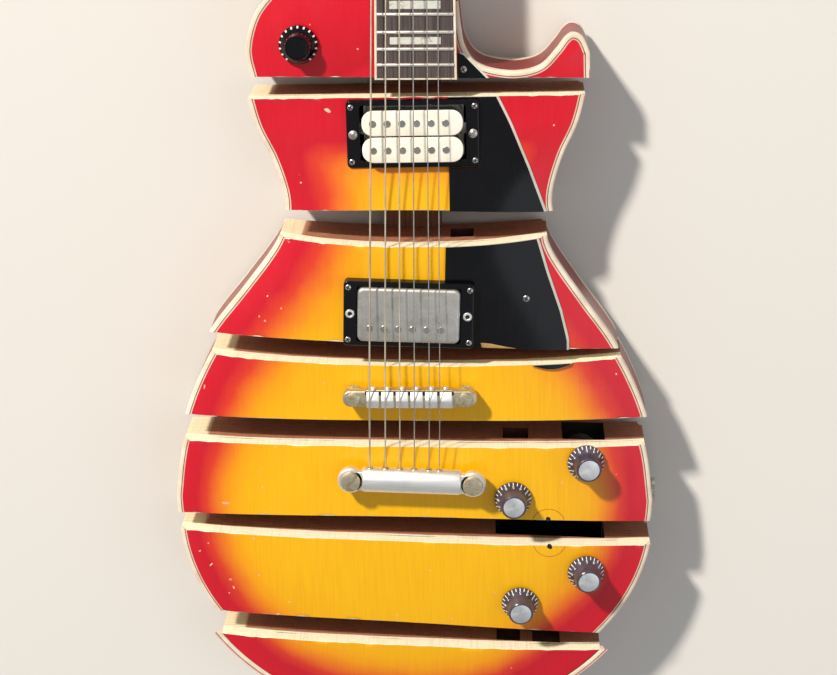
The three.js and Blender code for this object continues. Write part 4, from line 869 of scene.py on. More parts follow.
def nearest_cut(index, point):
    """The (cut, side) that a path's end lies on, or None where it meets the neck."""
    sides = []
    if index:
        sides.append((CUTS[index - 1], "under"))
    if index < len(CUTS):
        sides.append((CUTS[index], "over"))
    for cut, side in sides:
        if abs(edge_y(cut, side, point[0]) - point[1]) < 1.5:
            return cut, side
    return None


FACE_BINDING = (
    (-PROUD, -6.2, "face"), (-PROUD, -1.0, "face"), (0.15, -0.25, "face"), (0.8, PROUD, "face"),
    (1.8, PROUD, "face"), (2.7, PROUD, "face"), (2.7, -1.5, "face"), (1.5, -6.2, "face"),
)
BACK_BINDING = (
    (-PROUD, 6.4, "back"), (-PROUD, 0.9, "back"), (0.15, 0.2, "back"), (0.8, -PROUD, "back"),
    (3.0, -PROUD, "back"), (3.0, 1.5, "back"), (1.5, 6.4, "back"),
)


def flush_line(start, end):
    """The section of a thin line let into the face."""
    rise = PROUD * 0.6
    return ((start, -1.0, "face"), (start, rise, "face"), (end, rise, "face"), (end, -1.0, "face"))


STRIPS = (
    ("face_binding", FACE_BINDING, BINDING),
    ("back_binding", BACK_BINDING, BINDING),
    ("purfling_dark", flush_line(2.7, 3.3), PURFLING),
    ("purfling_pale", flush_line(3.3, 4.2), INNER_LINE),
)
for index in range(len(SEATS)):
    for side, path in enumerate(edge_paths(index)):
        label = f"{index + 1}_{'bass' if side == 0 else 'treble'}"
        for name, section, finish in STRIPS:
            strip(f"{name}_{label}", index, path, section, finish)
print("binding strips laid along", sum(len(edge_paths(i)) for i in range(len(SEATS))), "edges")

# %% [markdown]
# The hardware is turned, cast, moulded or stamped, so a few ways of making a shell cover it: a
# profile spun on a lathe, an outline raised into a block with rounded edges, and a wire drawn along
# a route. A piece is several such shells in one mesh, each with its own finish, and each is drawn in
# millimetres from its own middle and then put in place by a matrix.

# %% Ways of making a shell
DRAWN = Matrix.Translation(DRAWING) @ Matrix.Scale(MM, 4)


def moved(place, x, y=0.0, z=0.0):
    """A place shifted by millimetres along its own axes."""
    return place @ Matrix.Translation((x, y, z))


def on_slice(index, x, y, z=0.0):
    """The place of something drawn in millimetres at a point of a slice."""
    return moved(DRAWN @ SEAT[index], x, y, z)


def lathe(profile, count=40):
    """Spins (radius, height) points round Z; a radius of 0 closes an end."""
    turn = np.linspace(0, 2 * math.pi, count, endpoint=False)
    points = [(r * math.cos(a), r * math.sin(a), z) for r, z in profile for a in turn]
    return points, tube_faces(len(profile), count, ends=False)


def rounded_rectangle(length, width, radius, steps=6):
    """The outline of a rectangle round its middle, anticlockwise."""
    corners = ((1, 1, 0), (-1, 1, 90), (-1, -1, 180), (1, -1, 270))
    outline = []
    for sx, sy, start in corners:
        for k in range(steps + 1):
            angle = math.radians(start + 90 * k / steps)
            outline.append((sx * (length / 2 - radius) + radius * math.cos(angle),
                            sy * (width / 2 - radius) + radius * math.sin(angle)))
    return outline


def raised(outline, low, high, rounding=0.4, steps=3):
    """Raises an outline that runs anticlockwise into a block with rounded edges."""
    line = np.array(outline, float)
    out = -outward(line)
    angles = [math.pi / 2 * k / steps for k in range(steps + 1)]
    rings = [(rounding * (1 - math.sin(a)), low + rounding * (1 - math.cos(a))) for a in angles]
    rings += [(rounding * (1 - math.cos(a)), high - rounding * (1 - math.sin(a))) for a in angles]
    points = [(*(p - o * inset), z) for inset, z in rings for p, o in zip(line, out)]
    return points, tube_faces(len(rings), len(line))


def drawn_wire(route, radius, sides=10):
    """A round wire along a route of points, with flat ends."""
    route = [Vector(p) for p in route]
    points, side = [], Vector((1, 0, 0))
    for i, point in enumerate(route):
        along = (route[min(i + 1, len(route) - 1)] - route[max(i - 1, 0)]).normalized()
        side = (side - along * side.dot(along)).normalized()
        up = along.cross(side)
        for k in range(sides):
            angle = 2 * math.pi * k / sides
            points.append(point + radius * (math.cos(angle) * side + math.sin(angle) * up))
    return points, tube_faces(len(route), sides)


class Piece:
    """Gathers shells, each with a finish and a place, into one mesh that rides on a CAD body."""

    def __init__(self, name, body="guitar"):
        self.name, self.body = name, body
        self.points, self.faces, self.kinds, self.finishes = [], [], [], []

    def add(self, shell, finish, place):
        points, faces = shell
        start = len(self.points)
        self.points += [place @ Vector(p) for p in points]
        self.faces += [tuple(start + int(i) for i in face) for face in faces]
        if finish not in self.finishes:
            self.finishes.append(finish)
        self.kinds += [self.finishes.index(finish)] * len(faces)
        return self

    def make(self, *nodes, slot=None, smooth=35):
        """Makes the mesh; nodes are the CAD nodes that it stands for."""
        piece = make_piece(self.name, self.points, self.faces, *self.finishes, body=self.body,
                           face_kind=self.kinds, smooth=smooth)
        turn_faces_out(piece, weld=0.002 * MM)
        shade(piece, smooth)
        for node in nodes:
            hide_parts(node)
        return piece


def cross_slot(radius, deep, high):
    """A cross to cut out of a screw head whose top is at high."""
    long, half = radius * 0.75, radius * 0.15
    corner = [(half, half), (half, long), (-half, long)]
    outline = [(x * c - y * s, x * s + y * c) for c, s in ((1, 0), (0, 1), (-1, 0), (0, -1))
               for x, y in corner]
    return raised(outline, high - deep, high + 2, 0.01, 1)


def screws(name, places, radius, high):
    """Domed steel screw heads, each turned its own way, with a cross cut into it whose walls are painted
    black as shade.
    """
    heads, cuts = Piece(name), Piece(name + "_slots")
    dome = [(0, 0), (radius, 0), (radius, 0.25 * high)]
    dome += [(radius * math.cos(a), high * (0.25 + 0.75 * math.sin(a))) for a in (0.4, 0.8, 1.2)]
    dome += [(0, high)]
    for number, place in enumerate(places):
        turned = place @ Matrix.Rotation(0.4 + 0.7 * number, 4, "Z")
        heads.add(lathe(dome, 20), STEEL, turned)
        # painted shade: the cross's walls take this black, not the steel's own colour
        cuts.add(cross_slot(radius, 0.55 * high, high), SHIELDING_PAINT_AND_SHADE, turned)
    cut_away(heads.make(), cuts.make())


print("a screw's dome has", len(lathe([(0, 0), (1, 0), (0, 1)], 20)[0]), "points")

# %% [markdown]
# A pickup sits in a black moulded ring that slopes with the strings, and hangs on two spring-loaded
# height screws. The neck pickup has lost its cover, so its two cream bobbins show, each a moulded
# spool with six steel poles. The bridge pickup keeps its cover, a nickel box drawn from thin sheet.

# %% Pickup rings
RING = (89.0, 46.0)
RING_HOLE = (71.0, 39.4)
RING_SCREWS = (41.3, 18.6)
EAR_X = (RING[0] + RING_HOLE[0]) / 4
PICKUPS = {
    "neck": dict(index=1, x=0.2, y=-26.05, wall=5.2),
    "bridge": dict(index=2, x=0.6, y=-132.0, wall=8.0),
}


def pickup_ring(name):
    """The ring, with its hole and the two holes of the height screws; its place and its top."""
    spot = PICKUPS[name]
    top = float(top_height(spot["x"], spot["y"])) + spot["wall"]
    place = on_slice(spot["index"], spot["x"], spot["y"])
    ring = Piece(f"{name}_ring_moulding")
    ring.add(raised(rounded_rectangle(*RING, 3), RIM - 0.8, top, 1.1), BLACK_ABS, place)
    ring = ring.make(f"{name}_pickup_ring", slot="black_plastic")
    tool = Piece("tool")
    tool.add(raised(rounded_rectangle(*RING_HOLE, 2), RIM - 9, top + 5, 0.1), BLACK_ABS, place)
    for side in (-1, 1):
        tool.add(lathe([(0, RIM - 9), (2.0, RIM - 9), (2.0, top + 3), (0, top + 3)], 24),
                 BLACK_ABS, moved(place, side * EAR_X))
    cut_away(ring, tool.make())
    corners = [moved(place, sx * RING_SCREWS[0], sy * RING_SCREWS[1], top - 0.2)
               for sx in (-1, 1) for sy in (-1, 1)]
    screws(f"{name}_ring_screws", corners, 2.1, 1.0)
    return place, top


for name, spot in PICKUPS.items():
    spot["place"], spot["top"] = pickup_ring(name)
    print(name, "ring's top at", round(spot["top"], 1), "mm")

# %% [markdown]
# Each bobbin's poles stand a little proud of it: plated screw heads on the lower bobbin, plain steel
# slugs on the upper one. The height screws are hollow at the top, and worn bright; a black disc in
# each hollow is painted shade.

# %% Pickups
POLES = [(k - 2.5) * 9.7 - 2.1 for k in range(6)]


def height_screws(name, place, top):
    heads = Piece(f"{name}_height_screws")
    for side in (-1, 1):
        ear = moved(place, side * EAR_X, 0, top - 0.5)
        heads.add(lathe([(1.5, 0.3), (1.5, 1.2), (1.8, 1.5), (2.7, 1.4), (3.1, 0.9), (3.1, -0.4)], 32),
                  BRIGHT_PLATE, ear)
        # painted shade: a black disc at the bottom of the head's hollow
        heads.add(lathe([(0, 0.35), (1.5, 0.35), (1.5, -0.4)], 32), SHIELDING_PAINT_AND_SHADE, ear)
    heads.make()


def pole_row(piece, place, y, high, plated):
    """Six poles, as wide apart as the strings."""
    for x in POLES:
        head = [(0, high - 2), (2.4, high - 2), (2.4, high + 0.35), (2.1, high + 0.6), (0, high + 0.6)]
        piece.add(lathe(head, 20), NICKEL if plated else STEEL, moved(place, x, y))


def open_pickup():
    place, high = PICKUPS["neck"]["place"], RIM + 14.6
    for side, word in ((1, "upper"), (-1, "lower")):
        y = side * 9.1
        bobbin = Piece(f"cream_bobbin_{word}")
        flange = rounded_rectangle(67.4, 17.2, 7.6)
        middle = moved(place, 0, y)
        bobbin.add(raised(flange, high - 2.4, high, 0.7), CREAM_ABS, middle)
        bobbin.add(raised(rounded_rectangle(62, 12, 5.8), RIM - 9, high - 2, 0.3), BLACK_ABS, middle)
        bobbin.add(raised(flange, RIM - 10.4, RIM - 8.4, 0.5), CREAM_ABS, middle)
        pole_row(bobbin, place, y, high, side < 0)
        bobbin.make(f"neck_pickup_bobbin_{word}", slot="cream_plastic")
    height_screws("neck", place, PICKUPS["neck"]["top"])


def covered_pickup():
    place, high = PICKUPS["bridge"]["place"], RIM + 22.5
    cover = Piece("nickel_pickup_cover")
    cover.add(raised(rounded_rectangle(69.8, 38.4, 4.2, 8), RIM - 12, high, 2.2, 6), DULL_NICKEL, place)
    base = rounded_rectangle(2 * EAR_X + 7, 7, 1)
    cover.add(raised(base, RIM - 12, RIM - 10.4, 0.2), NICKEL, place)
    pole_row(cover, place, -9.4, high, True)
    cover.make("bridge_pickup", slot="nickel")
    height_screws("bridge", place, PICKUPS["bridge"]["top"])


open_pickup()
covered_pickup()
print("poles span", round(POLES[-1] - POLES[0], 1), "mm")

# %% [markdown]
# The pickguard is three-ply sheet, black over white over black, with its edge scraped to a slope so
# that the white shows as a line. It was screwed on before the saw went through, so each piece ends
# in its slice's own edge. It bends over the carved top, so it is a grid that follows the top's height.

# %% Pickguard
GUARD_THICK = 2.2
GUARD_BEVEL = 1.5


def guard_strip(name, index, left, edge, high, low, node=None, slope=GUARD_BEVEL):
    """A sheet on the carved top from left to an edge of (y, x) points, between two lines of y."""
    edge = np.array(edge)
    rows, columns = 24, 14
    u, v = np.meshgrid(np.linspace(0, 1, columns), np.linspace(0, 1, rows))
    levels = []
    for rise, inset in ((0.15, 0), (0.9, 0), (GUARD_THICK - 0.15, slope), (GUARD_THICK, slope + 0.2)):
        y = np.full(u.shape, (np.mean(high(left)) + np.mean(low(left))) / 2)
        for _ in range(12):
            right = np.interp(y, edge[:, 0], edge[:, 1]) - inset
            x = left + (right - left) * u
            y = high(x) + (low(x) - high(x)) * v
        levels.append(np.stack((x, y, surface_z(index, x, y) + rise), axis=-1))
    points, faces, kinds = block_from_grids(np.array(levels), (0, 0, 0, 1, 1, 1))
    sheet = make_piece(name, to_frame(points, index), faces, BLACK_ABS, WHITE_PLY, face_kind=kinds)
    if node:
        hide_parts(node)
    return sheet


def sawn(number, side):
    """A saw cut's edge, as y for any x."""
    return lambda x: edge_y(CUTS[number], side, np.asarray(x, float))


def level_line(y):
    return lambda x: np.full(np.shape(x), float(y))


guard_strip("guard_by_the_neck", 0, 27.9, ((-5, 52), (-4, 51), (14.6, 33), (16, 30)),
            level_line(16), sawn(0, "over"), "pickguard_upper")
middle_guard = guard_strip("guard_beside_neck_pickup", 1, 23.9,
                           ((-84, 90), (-51, 78.5), (-21, 66.5), (1, 56)),
                           sawn(0, "under"), sawn(1, "over"), "pickguard_middle")
lower_guard = guard_strip("guard_beside_bridge_pickup", 2, 24.6,
                          ((-160, 111), (-150, 110.5), (-130, 105), (-103, 95), (-80, 87.5)),
                          sawn(1, "under"), sawn(2, "over"), "pickguard_lower")
SLIVER_LEFT, SLIVER_RIGHT, SLIVER_DEEP = 84.0, 112, 3.4


def sliver_edge(x):
    """The sliver's lower edge: a shallow bow that nearly meets the cut at both ends."""
    share = np.clip((np.asarray(x) - SLIVER_LEFT) / (SLIVER_RIGHT - SLIVER_LEFT), 0.03, 0.97)
    return edge_y(CUTS[2], "under", x) - SLIVER_DEEP * np.sin(share * math.pi)


guard_strip("guard_sliver", 3, SLIVER_LEFT, ((-175, SLIVER_RIGHT), (-157, SLIVER_RIGHT)),
            sawn(2, "under"), sliver_edge)
for sheet, name in ((middle_guard, "neck"), (lower_guard, "bridge")):
    spot = PICKUPS[name]
    tool = Piece("tool")
    tool.add(raised(rounded_rectangle(RING[0] + 0.6, RING[1] + 0.6, 3), RIM - 9, RIM + 40, 0.1),
             BLACK_ABS, on_slice(spot["index"], spot["x"], spot["y"]))
    cut_away(sheet, tool.make(), angle=30)
GUARD_SCREWS = ((0, 31.3, 5.0), (2, 80.2, -120.8))   # slice, and its place on the unsawn body
screws("guard_screws", [on_slice(i, x, y, float(surface_z(i, x, y)) + GUARD_THICK - 0.1)
                        for i, x, y in GUARD_SCREWS], 2.4, 1.0)
print("guard pieces of", GUARD_THICK, "mm sheet")

# %% [markdown]
# The bridge is a cast bar on two posts with knurled wheels. Six saddles stand in it, each a wedge
# whose crest holds its string, and its screw runs out towards the neck. The plate has worn to brass.

# %% Bridge
BRIDGE = (0.0, -180.6)
BRIDGE_TOP = float(top_height(*BRIDGE))
BAR_LOW, BAR_HIGH = BRIDGE_TOP + 6, BRIDGE_TOP + 14
SADDLE_TOP = BAR_HIGH + 4.4
STRINGS = (
    ("string_6", 0.62, -27.2), ("string_5", 0.54, -16.4), ("string_4", 0.48, -6.4),
    ("string_3", 0.42, 3.6), ("string_2", 0.36, 13.8), ("string_1", 0.34, 21.0),
)
SADDLE_PITCH = 10.0
BRIDGE_POST_X, BRIDGE_POST_DEEP = 38.5, 22
SADDLE_WEDGE = ((-5.7, 0), (5.7, 0), (5.7, 2.0), (0.9, 4.9), (-0.9, 4.9), (-5.7, 2.0))
ACROSS = Matrix.Rotation(math.pi / 2, 4, "Z") @ Matrix.Rotation(math.pi / 2, 4, "X")
ALONG_Y = Matrix.Rotation(-math.pi / 2, 4, "X")


def knurled(radius, teeth=44, deep=0.3):
    """The outline of a wheel with teeth cut into its rim."""
    turn = np.linspace(0, 2 * math.pi, 4 * teeth, endpoint=False)
    reach = radius - deep * (0.5 + 0.5 * np.cos(turn * teeth))
    return [(r * math.cos(a), r * math.sin(a)) for r, a in zip(reach, turn)]


def bridge():
    place = on_slice(3, *BRIDGE)
    bar = Piece("cast_bridge_bar")
    bar.add(raised(rounded_rectangle(92, 11.5, 5.4, 8), BAR_LOW, BAR_HIGH, 0.9), WORN_PLATE, place)
    bar.add(raised(rounded_rectangle(60, 13.4, 1.0), BAR_LOW + 0.8, BAR_HIGH + 0.4, 0.6),
            WORN_PLATE, place)
    # painted shade: a thin black strip on the bar's top, seen dark between the saddles
    trough = rounded_rectangle(61, 3.2, 1.2)
    bar.add(raised(trough, BAR_HIGH, BAR_HIGH + 0.55, 0.1), SHIELDING_PAINT_AND_SHADE, moved(place, 0, 4.4))
    half = (SADDLE_PITCH - 1.6) / 2
    for number in range(6):
        x = (number - 2.5) * SADDLE_PITCH
        bar.add(raised(SADDLE_WEDGE, -half, half, 0.35), BRIGHT_PLATE,
                moved(place, x, 0, BAR_HIGH - 0.5) @ ACROSS)
        bar.add(lathe([(0, -1), (1.9, -1), (1.9, 0.9), (1.5, 1.4), (0, 1.4)], 18), BRIGHT_PLATE,
                moved(place, x, 6.7, BAR_HIGH - 2.8) @ ALONG_Y)
    bar.make("bridge_body", slot="worn_plate")
    for side, word in ((-1, "bass"), (1, "treble")):
        spot = moved(place, side * BRIDGE_POST_X)
        post = Piece(f"bridge_post_and_wheel_{word}")
        wheel, foot = BAR_LOW - 0.3, BRIDGE_TOP - BRIDGE_POST_DEEP
        post.add(raised(knurled(7.0), wheel - 2.2, wheel, 0.35, 2), WORN_PLATE, spot)
        post.add(lathe([(0, foot), (3, foot), (3, BAR_HIGH + 0.2),
                        (4.5, BAR_HIGH + 0.2), (4.7, BAR_HIGH + 0.6), (4.2, BAR_HIGH + 1.3),
                        (3.2, BAR_HIGH + 1.6), (0, BAR_HIGH + 1.7)], 32), WORN_PLATE, spot)
        post = post.make(f"bridge_post_{word}", slot="worn_plate")
        slot_of = raised(rounded_rectangle(12, 1.1, 0.05, 1), BAR_HIGH + 0.7, BAR_HIGH + 3, 0.01)
        tool = Piece("tool").add(slot_of, WORN_PLATE, spot @ Matrix.Rotation(0.5 * side, 4, "Z"))
        cut_away(post, tool.make())


bridge()
print("saddles' crests at", round(SADDLE_TOP, 1), "mm")

# %% [markdown]
# The tailpiece is a heavier cast bar with a half round top, hooked on two big slotted studs. The
# strings come out of its front, and it is polished by the hand that rested on it.

# %% Tailpiece
TAIL = (2.1, -223.5)
TAIL_LOW = float(top_height(*TAIL)) + 6
LUG_LOW, LUG_TOP = TAIL_LOW + 3, TAIL_LOW + 9
STUD_X, STUD_DEEP = 42.5, 28
TAIL_PLACE = on_slice(4, *TAIL) @ Matrix.Rotation(math.radians(-1.5), 4, "Z")


def tailpiece():
    bar = Piece("cast_tailpiece")
    section = [(9 * math.cos(a), TAIL_LOW + 3 + 9 * math.sin(a) ** 0.8)
               for a in np.linspace(0, math.pi, 19)]
    section += [(-7.4, TAIL_LOW), (7.4, TAIL_LOW)]
    bar.add(raised(section, -34.5, 34.5, 1.6, 4), BRIGHT_PLATE, TAIL_PLACE @ ACROSS)
    for side in (-1, 1):
        bar.add(lathe([(0, LUG_LOW), (8.6, LUG_LOW), (9, LUG_LOW + 0.5), (9, LUG_TOP - 1),
                       (8.2, LUG_TOP), (0, LUG_TOP)], 40), BRIGHT_PLATE, moved(TAIL_PLACE, side * STUD_X))
        bar.add(raised(rounded_rectangle(12, 14, 1.2), LUG_LOW, LUG_TOP, 0.8), BRIGHT_PLATE,
                moved(TAIL_PLACE, side * 37))
    for _, radius, saddle in STRINGS:
        hole = moved(TAIL_PLACE, saddle - TAIL[0], 8.3, TAIL_LOW + 4.8) @ ALONG_Y
        bar.add(lathe([(radius + 0.3, -2), (radius + 0.3, 0.9), (2.3, 0.9), (2.6, 0.4), (2.6, -2)], 20),
                WORN_PLATE, hole)
    bar.make("tailpiece", slot="worn_plate")
    for side, word in ((-1, "bass"), (1, "treble")):
        spot = moved(TAIL_PLACE, side * STUD_X)
        head, foot = LUG_TOP + 0.3, TAIL_LOW - STUD_DEEP
        stud = Piece(f"slotted_stud_{word}")
        stud.add(lathe([
            (0, foot), (4, foot), (4, LUG_LOW - 2.3), (8, LUG_LOW - 2.3),
            (8, LUG_LOW - 0.3), (3.6, LUG_LOW - 0.3), (3.6, head), (6.6, head), (7, head + 0.5),
            (7, head + 2.0), (6.4, head + 2.8), (5.0, head + 3.2), (0, head + 3.2)], 40),
            WORN_PLATE, spot)
        stud = stud.make(f"tailpiece_stud_{word}", slot="worn_plate")
        slot_of = raised(rounded_rectangle(18, 1.9, 0.1, 1), head + 1.6, head + 5, 0.01)
        turned = spot @ Matrix.Rotation(0.3 - 0.5 * side, 4, "Z")
        cut_away(stud, Piece("tool").add(slot_of, WORN_PLATE, turned).make())


tailpiece()
print("tailpiece's bar stands", round(TAIL_LOW - 6, 1), "to", round(TAIL_LOW + 12, 1), "mm")

# %% [markdown]
# Each control is a bell-shaped knob of smoky plastic with white ticks and numbers printed on its
# skirt, and a spun metal cap with a dimple let into its top. The upper slice's small knob is the
# same, all in black. A knob turns about its shaft, so it is made in its joint's own place.

# %% Knobs
SKIRT_R, WAIST_R, KNOB_LIFT = 13.0, 9.4, 2.2
DIAL_FROM, DIAL_SWEEP = -140, 280    # degrees
BORE_END, SHAFT_END = 3.7, -11.7     # how far down the knob's hollow and its shaft begin and end
SMOKED = old_plastic("smoky_plastic", "#50485a", "#3a3340", "#6a6270", 0.4, 0.2, 0.45)
PRINT = old_plastic("white_print", "#f6f5f2", "#e2e0da", dirty=0.3)


def brushed_cap():
    """Spun aluminium: fine rings about the middle, which smear a highlight into two rays."""
    material, tree, place = new_material("spun_aluminium")
    cloud = add_node(tree, "TexNoise", {"Vector": place, "Scale": per_mm(6), "Detail": 4})
    colour = add_node(tree, "ValToRGB", {"Fac": cloud}, stops=((0.3, "#dfe4e8"), (0.7, "#f6f8f8")))
    lines = add_node(tree, "Attribute", {}, output="Fac", attribute_name="ring")
    lines = add_node(tree, "TexNoise", {"W": lines, "Scale": 4, "Detail": 3}, noise_dimensions="1D")
    relief = add_node(tree, "Bump", {"Height": lines, "Distance": 0.05 * MM})
    return finish_material(material, {
        "Base Color": colour, "Metallic": 1.0, "Roughness": 0.46, "Anisotropic": 0.5,
        "Normal": relief,
    })


SPUN_CAP = brushed_cap()
JOINTS = {joint["child"]: joint for joint in frame["joints"]}


def joint_place(body):
    """Millimetres in a joint's own place, with Z along its axis."""
    joint = JOINTS[body]
    axis = Vector(joint["axis"]).normalized()
    lean = Vector((0, 0, 1)).rotation_difference(axis).to_matrix().to_4x4()
    return Matrix.Translation(joint["pos_m"]) @ lean @ Matrix.Scale(MM, 4)


def skirt_point(share, high):
    """A point on the skirt's slope: 0 at its rim and 1 at the waist."""
    r = SKIRT_R - 0.4 + (WAIST_R - SKIRT_R + 0.4) * share
    return r, KNOB_LIFT + 1.6 + (high / 2.6 - 1.6) * share


def printed_number(text, size):
    """A numeral's outline as a thin shell, from Blender's own plain font."""
    curve = bpy.data.curves.new("number", "FONT")
    curve.body = text
    curve.size = size
    curve.align_x, curve.align_y = "CENTER", "CENTER"
    curve.extrude = 0.04
    curve.resolution_u = 2
    holder = bpy.data.objects.new("number", curve)
    mesh = bpy.data.meshes.new_from_object(holder)
    shell = [tuple(v.co) for v in mesh.vertices], [tuple(f.vertices) for f in mesh.polygons]
    for block, store in ((holder, bpy.data.objects), (mesh, bpy.data.meshes),
                         (curve, bpy.data.curves)):
        store.remove(block)
    return shell


def bell_knob(body, high, cap_r, skirt_finish, cap_finish, ticks):
    place = joint_place(body)
    knob = Piece(f"bell_{body}", body)
    top = KNOB_LIFT + high
    slope = [skirt_point(s, high) for s in (0, 0.33, 0.66, 1)]
    profile = [(0, SHAFT_END), (3, SHAFT_END), (3, BORE_END), (7.8, BORE_END), (7.8, KNOB_LIFT),
               (SKIRT_R - 0.3, KNOB_LIFT),
               (SKIRT_R, KNOB_LIFT + 0.3), *slope, (cap_r + 0.2, top - 1.4), (cap_r, top - 0.6),
               (cap_r - 0.5, top - 0.1), (cap_r - 1.1, top), (cap_r - 1.3, top - 0.4), (0, top - 0.4)]
    knob.add(lathe(profile, 64), skirt_finish, place)
    inner = cap_r - 1.35
    cap = [(inner, top - 0.6), (inner, top - 0.1), (inner - 0.3, top), (2.6, top + 0.1),
           (1.9, top + 0.04), (1.0, top - 0.04), (0, top - 0.06)]
    knob.add(lathe(cap, 64), cap_finish, place)
    (r0, z0), (r1, z1) = skirt_point(0, high), skirt_point(1, high)
    lean = Matrix.Rotation(math.atan2(z1 - z0, r0 - r1), 4, "Y")
    for number in range(ticks):
        angle = math.radians(DIAL_FROM + DIAL_SWEEP * number / (ticks - 1))
        about = place @ Matrix.Rotation(angle + math.pi / 2, 4, "Z")
        r, z = skirt_point(0.16, high)
        length, breadth = (2.6, 0.62) if ticks > 20 else (1.9, 1.15)
        tick = raised(rounded_rectangle(length, breadth, 0.2, 2), -0.1, 0.12, 0.03, 1)
        knob.add(tick, PRINT, moved(about, r, 0, z) @ lean)
        if ticks > 20 and number % 2 == 0:
            r, z = skirt_point(0.62, high)
            lie = Matrix.Translation((r, 0, z)) @ lean @ Matrix.Translation((0, 0, 0.1))
            knob.add(printed_number(str(number // 2), 3.5), PRINT,
                     about @ lie @ Matrix.Rotation(math.pi / 2, 4, "Z"))
    mesh = knob.make(body, slot="black_plastic", smooth=30).data
    local = np.array(place.inverted())
    flat = vertex_places(mesh) @ local[:3, :3].T + local[:3, 3]
    write_attribute(mesh, "ring", np.hypot(flat[:, 0], flat[:, 1]))


for body in ("knob_upper_treble", "knob_upper_middle", "knob_lower_treble", "knob_lower_middle"):
    bell_knob(body, 16.0, 8.6, SMOKED, SPUN_CAP, 21)
bell_knob("selector_knob", 12.5, 8.2, BLACK_ABS, BLACK_ABS, 15)
print("knobs made on", [b for b in JOINTS if "knob" in b])

# %% [markdown]
# The fingerboard is rosewood, oiled and dusty, with open pores along the grain. Its frets are
# pressed in and crowned, its edges are bound, and pearl blocks mark the places between frets.

# %% Fingerboard materials
def rosewood():
    material, tree, place = new_material("rosewood")
    grain = add_node(tree, "Mapping", {"Vector": place, "Scale": stretch(1.6, 60, 4)})
    grain = add_node(tree, "TexNoise", {"Vector": grain, "Scale": 1, "Detail": 6, "Roughness": 0.6})
    wood = add_node(tree, "ValToRGB", {"Fac": grain},
                    stops=((0.3, "#372d2c"), (0.55, "#544846"), (0.8, "#6a5f5c")))
    pores = add_node(tree, "Mapping", {"Vector": place, "Scale": stretch(0.4, 6, 2)})
    pores = add_node(tree, "TexNoise", {"Vector": pores, "Scale": 1, "Detail": 2})
    open_pore = add_node(tree, "MapRange", {"Value": pores, "From Min": 0.62, "From Max": 0.70,
                                            "To Max": 0.7})
    wood = add_node(tree, "Mix", {0: open_pore, 6: wood, 7: "#2c211d"}, output=2, data_type="RGBA")
    relief = add_node(tree, "Bump", {"Height": pores, "Distance": 0.06 * MM})
    return finish_material(material, {"Base Color": wood, "Roughness": 0.55, "Normal": relief})


def pearl():
    """Mother of pearl: clouded cream and grey, with a wet shine from its clear layers."""
    material, tree, place = new_material("mother_of_pearl")
    cloud = add_node(tree, "TexNoise", {"Vector": place, "Scale": per_mm(7), "Detail": 3,
                                        "Distortion": 1.5})
    colour = add_node(tree, "ValToRGB", {"Fac": cloud},
                      stops=((0.3, "#9d9a94"), (0.5, "#dcd8ce"), (0.7, "#c3ccc4")))
    return finish_material(material, {
        "Base Color": colour, "Roughness": 0.22, "IOR": 1.55, "Coat Weight": 0.6,
        "Coat Roughness": 0.1,
    })


ROSEWOOD = rosewood()
PEARL = pearl()

# %% Fingerboard
SCALE_LENGTH = 628.65
FRETS = 22
NUT_Y = SCALE_LENGTH * (1 - 2 ** (-FRETS / 12)) + 9.9
BOARD_HIGH = 6.0
IN_NECK = moved(DRAWN, 0, 0, RIM + 6) @ Matrix.Rotation(math.radians(-1), 4, "X")
IN_HEAD = moved(IN_NECK, 0, NUT_Y + 4.8 + 0.3) @ Matrix.Rotation(math.radians(-9), 4, "X")
BOARD_AT_BODY, BOARD_AT_NUT = 54.4, 43.0     # the board's width at its two ends
BOARD_EDGE = 1.6                 # binding along the board
INLAY_FRETS = (1, 3, 5, 7, 9, 12, 15, 17, 19, 21)


def board_half(y):
    """Half of the fingerboard's width, so far along it."""
    return (BOARD_AT_BODY + (BOARD_AT_NUT - BOARD_AT_BODY) * y / NUT_Y) / 2


def fret_y(number):
    return NUT_Y - SCALE_LENGTH * (1 - 2 ** (-number / 12))


